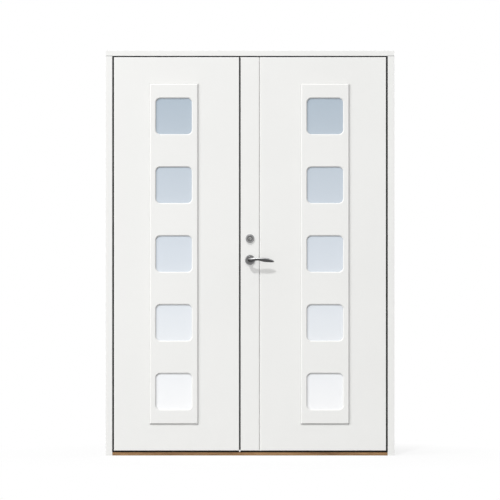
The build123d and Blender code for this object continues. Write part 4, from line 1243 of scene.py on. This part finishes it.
@dataclass
class LeafEdges:
    """The steel let into the meeting edges: lock forend, strike and the plates of the flush bolts."""

    frame: dict
    palette: Palette
    screw_inset: float = 0.009

    def dress(self) -> None:
        """Gives the edge pieces and the bolts their finishes."""
        dress(self.frame, self.palette.rubber, "meeting_seal")
        dress(
            self.frame, self.palette.zinc, "lock_forend", "lock_case", "latch_bolt", "lock_follower",
            "deadbolt", "deadbolt_cam", "spindle", "strike_plate", "upper_flush_bolt_plate",
            "lower_flush_bolt_plate", "upper_flush_bolt", "lower_flush_bolt",
        )

    def plate_row(self, node: str, facing: Facing) -> Row:
        """A screw at each end of an upright plate.

        Args:
            node: the plate's node.
            facing: the side that the plate shows.

        Returns:
            The two screws' row.
        """
        low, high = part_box(node)
        middle = (low + high) / 2
        face = low.x if facing is Facing.LEFT else high.x
        pitch = high.z - low.z - 2 * self.screw_inset
        return Row((face, middle.y, middle.z), facing, columns=2, column_pitch=pitch)

    def build(self, screws: ScrewTree) -> None:
        """Adds the plates' screws.

        Args:
            screws: the tree that makes screw heads.
        """
        screws.build("forend_screws", [self.plate_row("lock_forend", Facing.LEFT)], Leaf.DAILY.body)
        plates = ("strike_plate", "upper_flush_bolt_plate", "lower_flush_bolt_plate")
        rows = [self.plate_row(plate, Facing.RIGHT) for plate in plates]
        screws.build("strike_and_bolt_screws", rows, Leaf.BOLTED.body)


@dataclass
class LockFurniture:
    """Levers, roses, key cylinder and thumb turn; the levers' axis stands on the frame's X of 0."""

    frame: dict
    palette: Palette
    neck_radius: float = 0.01
    grub_setback: float = 0.01

    def dress(self) -> None:
        """Gives the furniture its finishes."""
        dress(self.frame, self.palette.chrome, "outer_lever", "inner_lever")
        dress(self.frame, self.palette.rose_chrome, "outer_rose", "inner_rose")
        dress(self.frame, self.palette.cylinder_steel, "cylinder_housing")
        dress(self.frame, self.palette.turn_steel, "thumb_turn_rose", "thumb_turn")
        dress(self.frame, self.palette.plug_steel, "cylinder_plug")

    def build(self, grubs: ScrewTree) -> None:
        """Adds the grub screw under the neck of each lever.

        Args:
            grubs: the tree that makes grub screws.
        """
        outer_low, outer_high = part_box("outer_rose")
        inner_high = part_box("inner_rose")[1]
        neck_foot = (outer_low.z + outer_high.z) / 2 - self.neck_radius
        depths = (outer_low.y - self.grub_setback, inner_high.y + self.grub_setback)
        rows = [Row((0.0, depth, neck_foot), Facing.DOWN) for depth in depths]
        grubs.build("lever_grub_screws", rows, "lever_set")


@dataclass
class HingeSet:
    """The three barrel hinges of one leaf, with the set screws that fix their pins."""

    frame: dict
    palette: Palette
    leaf: Leaf
    count: int = 3

    def node(self, part: str) -> str:
        """The full name of one of this set's nodes."""
        return f"{self.leaf.hand}_hinge_{part}"

    def dress(self) -> None:
        """Gives the hinges their finishes."""
        knuckles = [self.node(part) for part in ("frame_knuckles", "leaf_knuckles", "pins")]
        dress(self.frame, self.palette.satin_steel, *knuckles)
        dress(self.frame, self.palette.brass, self.node("washers"))

    def build(self, grubs: ScrewTree) -> None:
        """Adds a set screw to each knuckle.

        Args:
            grubs: the tree that makes grub screws.
        """
        washer_low, washer_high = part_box(self.node("washers"))
        axis = (washer_low + washer_high) / 2
        pitch = (washer_high.z - washer_low.z) / (self.count - 1)
        for part, body in (("frame_knuckles", "frame"), ("leaf_knuckles", self.leaf.body)):
            low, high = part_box(self.node(part))
            middle = (low.z + high.z) / 2
            row = Row((axis.x, washer_high.y, middle), Facing.IN, rows=self.count, row_pitch=pitch)
            grubs.build(self.node(f"{part}_set_screws"), [row], body)


# Studio


def aim(name: str, data: Light, travel: Vector) -> Object:
    """Adds a lamp to the scene, turned so that its light travels one way.

    Args:
        name: the lamp's name.
        data: the lamp's kind and strength.
        travel: the way its light goes.

    Returns:
        The lamp.
    """
    lamp = link(name, data)
    lamp.rotation_euler = travel.to_track_quat("-Z", "Y").to_euler()
    return lamp


@dataclass(frozen=True)
class SunLamp:
    """A lamp with parallel light: its way, its level on a facing surface and its softness in degrees."""

    name: str
    travel: Triple
    level: float
    softness: float

    def place(self) -> Object:
        """Adds the lamp to the scene.

        Returns:
            The lamp.
        """
        data = bpy.data.lights.new(self.name, "SUN")
        # The strength that lights a white surface to the level
        data.energy = self.level * math.pi
        data.angle = math.radians(self.softness)
        return aim(self.name, data, Vector(self.travel))


@dataclass(frozen=True)
class Softbox:
    """A large round lamp: its way, its level on a facing surface at its target, its distance and width."""

    name: str
    travel: Triple
    level: float
    distance: float
    width: float
    target: Triple = (0.0, 0.0, 1.0)

    def place(self) -> Object:
        """Adds the lamp to the scene, hidden from the camera.

        Returns:
            The lamp.
        """
        data = bpy.data.lights.new(self.name, "AREA")
        data.shape = "DISK"
        data.size = self.width
        # The power with which a disc of this width lights its target to the level
        data.energy = self.level * math.pi**2 * (self.distance**2 + self.width**2 / 4)
        travel = Vector(self.travel).normalized()
        lamp = aim(self.name, data, travel)
        lamp.location = Vector(self.target) - self.distance * travel
        lamp.visible_camera = False
        return lamp


def spared(name: str, pieces: Iterable[Object]) -> Collection:
    """A collection that leaves pieces out of a lamp's light or shadows.

    Args:
        name: the collection's name.
        pieces: the pieces to leave out.

    Returns:
        The collection.
    """
    made = bpy.data.collections.new(name)
    for piece in pieces:
        made.objects.link(piece)
    for member in made.collection_objects:
        member.light_linking.link_state = "EXCLUDE"
    return made


@dataclass
class Studio:
    """Pale floor, white surround, a sharp lamp, a soft one before and behind, and a long-lens camera.

    The sensor is in millimetres, as the camera takes it. The ambient levels are those from below and above,
    over a span of the sky's rise. The floor's shadow is shown in part, and fades out between two distances.
    """

    face: float
    furniture: Sequence[Object]
    eye_height: float = 1.061
    distance: float = 20.0
    view_width: float = 2.5815
    sensor: float = 36.0
    clip: float = 80.0
    floor_size: float = 12.0
    floor_colour: Colour = (0.92, 0.92, 0.92)
    floor_mottle: Mottle = Mottle(Noise(1.5, 2.0), (0.3, 0.7), (0.99, 1.0))
    floor_roughness: float = 0.9
    floor_bounce: Colour = (0.36, 0.36, 0.36)
    shadow_share: float = 0.25
    shadow_reach: Span = (0.75, 1.5)
    ambient: Span = (0.435, 0.465)
    ambient_rise: Span = (-0.3, 0.4)
    key: SunLamp = SunLamp("key", (0.225, 1.0, -1.17), level=0.425, softness=3.5)
    fill: Softbox = Softbox("fill", (0.706, 0.623, -0.336), level=0.47, distance=14.0, width=10.5)
    rear: Softbox = Softbox("rear", (-0.5, -0.75, -0.43), level=0.56, distance=9.0, width=5.0)

    def build(self) -> None:
        """Makes everything that isn't the door, with one shadow of the furniture and one on the floor."""
        self.camera()
        self.world()
        floor = self.floor()
        self.key.place()
        self.fill.place().light_linking.blocker_collection = spared("fill_unshadowed", self.furniture)
        self.rear.place().light_linking.receiver_collection = spared("rear_unlit", [floor])
        bpy.context.scene.view_settings.view_transform = "Standard"
        LOG.info("built the studio")

    def camera(self) -> None:
        """Sets the camera that frames the door as the photograph does."""
        data = bpy.data.cameras.new("camera")
        data.sensor_width = self.sensor
        data.lens = self.sensor * self.distance / self.view_width
        data.clip_end = self.clip
        camera = link("camera", data)
        camera.location = (0.0, self.face - self.distance, self.eye_height)
        camera.rotation_euler = (QUARTER_TURN, 0.0, 0.0)
        bpy.context.scene.camera = camera

    def world(self) -> None:
        """A surround that shows as white and lights the door softly, less from below."""
        world = bpy.data.worlds.new("studio")
        world.use_nodes = True
        sky = Wiring(world.node_tree)
        direction = sky.node("ShaderNodeTexCoord").outputs["Generated"]
        strength = sky.spread(sky.axis(direction, "Z"), self.ambient, self.ambient_rise)
        light = sky.tree.nodes["Background"]
        sky.feed(light.inputs["Color"], WHITE)
        sky.feed(light.inputs["Strength"], strength)
        white = sky.node("ShaderNodeBackground", {"Color": WHITE})
        mixed = sky.mix(sky.showing(), light.outputs["Background"], white.outputs["Background"])
        sky.feed(sky.tree.nodes["World Output"].inputs["Surface"], mixed)
        bpy.context.scene.world = world

    def floor(self) -> Object:
        """A pale floor that keeps the door's shadow and fades to white away from it.

        Returns:
            The floor.
        """
        half = self.floor_size / 2
        mesh = bpy.data.meshes.new("floor")
        corners = [(-half, -half, 0.0), (half, -half, 0.0), (half, half, 0.0), (-half, half, 0.0)]
        mesh.from_pydata(corners, [], [(0, 1, 2, 3)])
        floor = link("floor", mesh)
        shader = Shader("pale_floor")
        here = shader.place()
        shader.set(
            Base_Color=shader.mottled(self.floor_colour, self.floor_mottle, here),
            Roughness=self.floor_roughness,
        )
        away = shader.vector("LENGTH", here)
        white_share = shader.spread(away, (1 - self.shadow_share, 1.0), self.shadow_reach)
        white = shader.node("ShaderNodeEmission", {"Strength": 1.0})
        shown = shader.mix(white_share, shader.surface.outputs["BSDF"], white.outputs["Emission"])
        bounce = shader.node("ShaderNodeBsdfDiffuse", {"Color": (*self.floor_bounce, 1.0)})
        mixed = shader.mix(shader.showing(), bounce.outputs["BSDF"], shown)
        shader.feed(shader.tree.nodes["Material Output"].inputs["Surface"], mixed)
        mesh.materials.append(shader.material)
        return floor


def main() -> None:
    """Builds the pieces in order and reports each one."""
    logging.basicConfig(level=logging.INFO, format="%(message)s")
    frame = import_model()
    palette = Palette.mix()
    steel = (palette.screw_steel, "zinc_steel")
    screws = ScrewTree("screw_heads", *steel, radius=0.0034, proud=0.0002, depth=0.0012)
    grubs = ScrewTree("grub_screws", *steel, radius=0.0021, proud=0.0002, depth=0.0012, sides=16)
    caps = CapTree(
        "cover_caps", palette.leaf_paint, "white_paint", radius=0.0065, proud=0.0009, depth=0.0009, sides=28
    )
    frame_parts = DoorFrame(frame, palette)
    frame_parts.dress()
    frame_parts.build(screws)
    for leaf in Leaf:
        door = DoorLeaf(frame, palette, leaf)
        door.dress()
        door.build(caps)
        hinges = HingeSet(frame, palette, leaf)
        hinges.dress()
        hinges.build(grubs)
    StileGroove(palette).build()
    edges = LeafEdges(frame, palette)
    edges.dress()
    edges.build(screws)
    furniture = LockFurniture(frame, palette)
    furniture.dress()
    furniture.build(grubs)
    outside = [frame["nodes"][node] for node in ("outer_lever", "outer_rose", "cylinder_housing")]
    Studio(face=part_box("daily_leaf_slab")[0].y, furniture=outside).build()


if __name__ == "__main__":
    main()
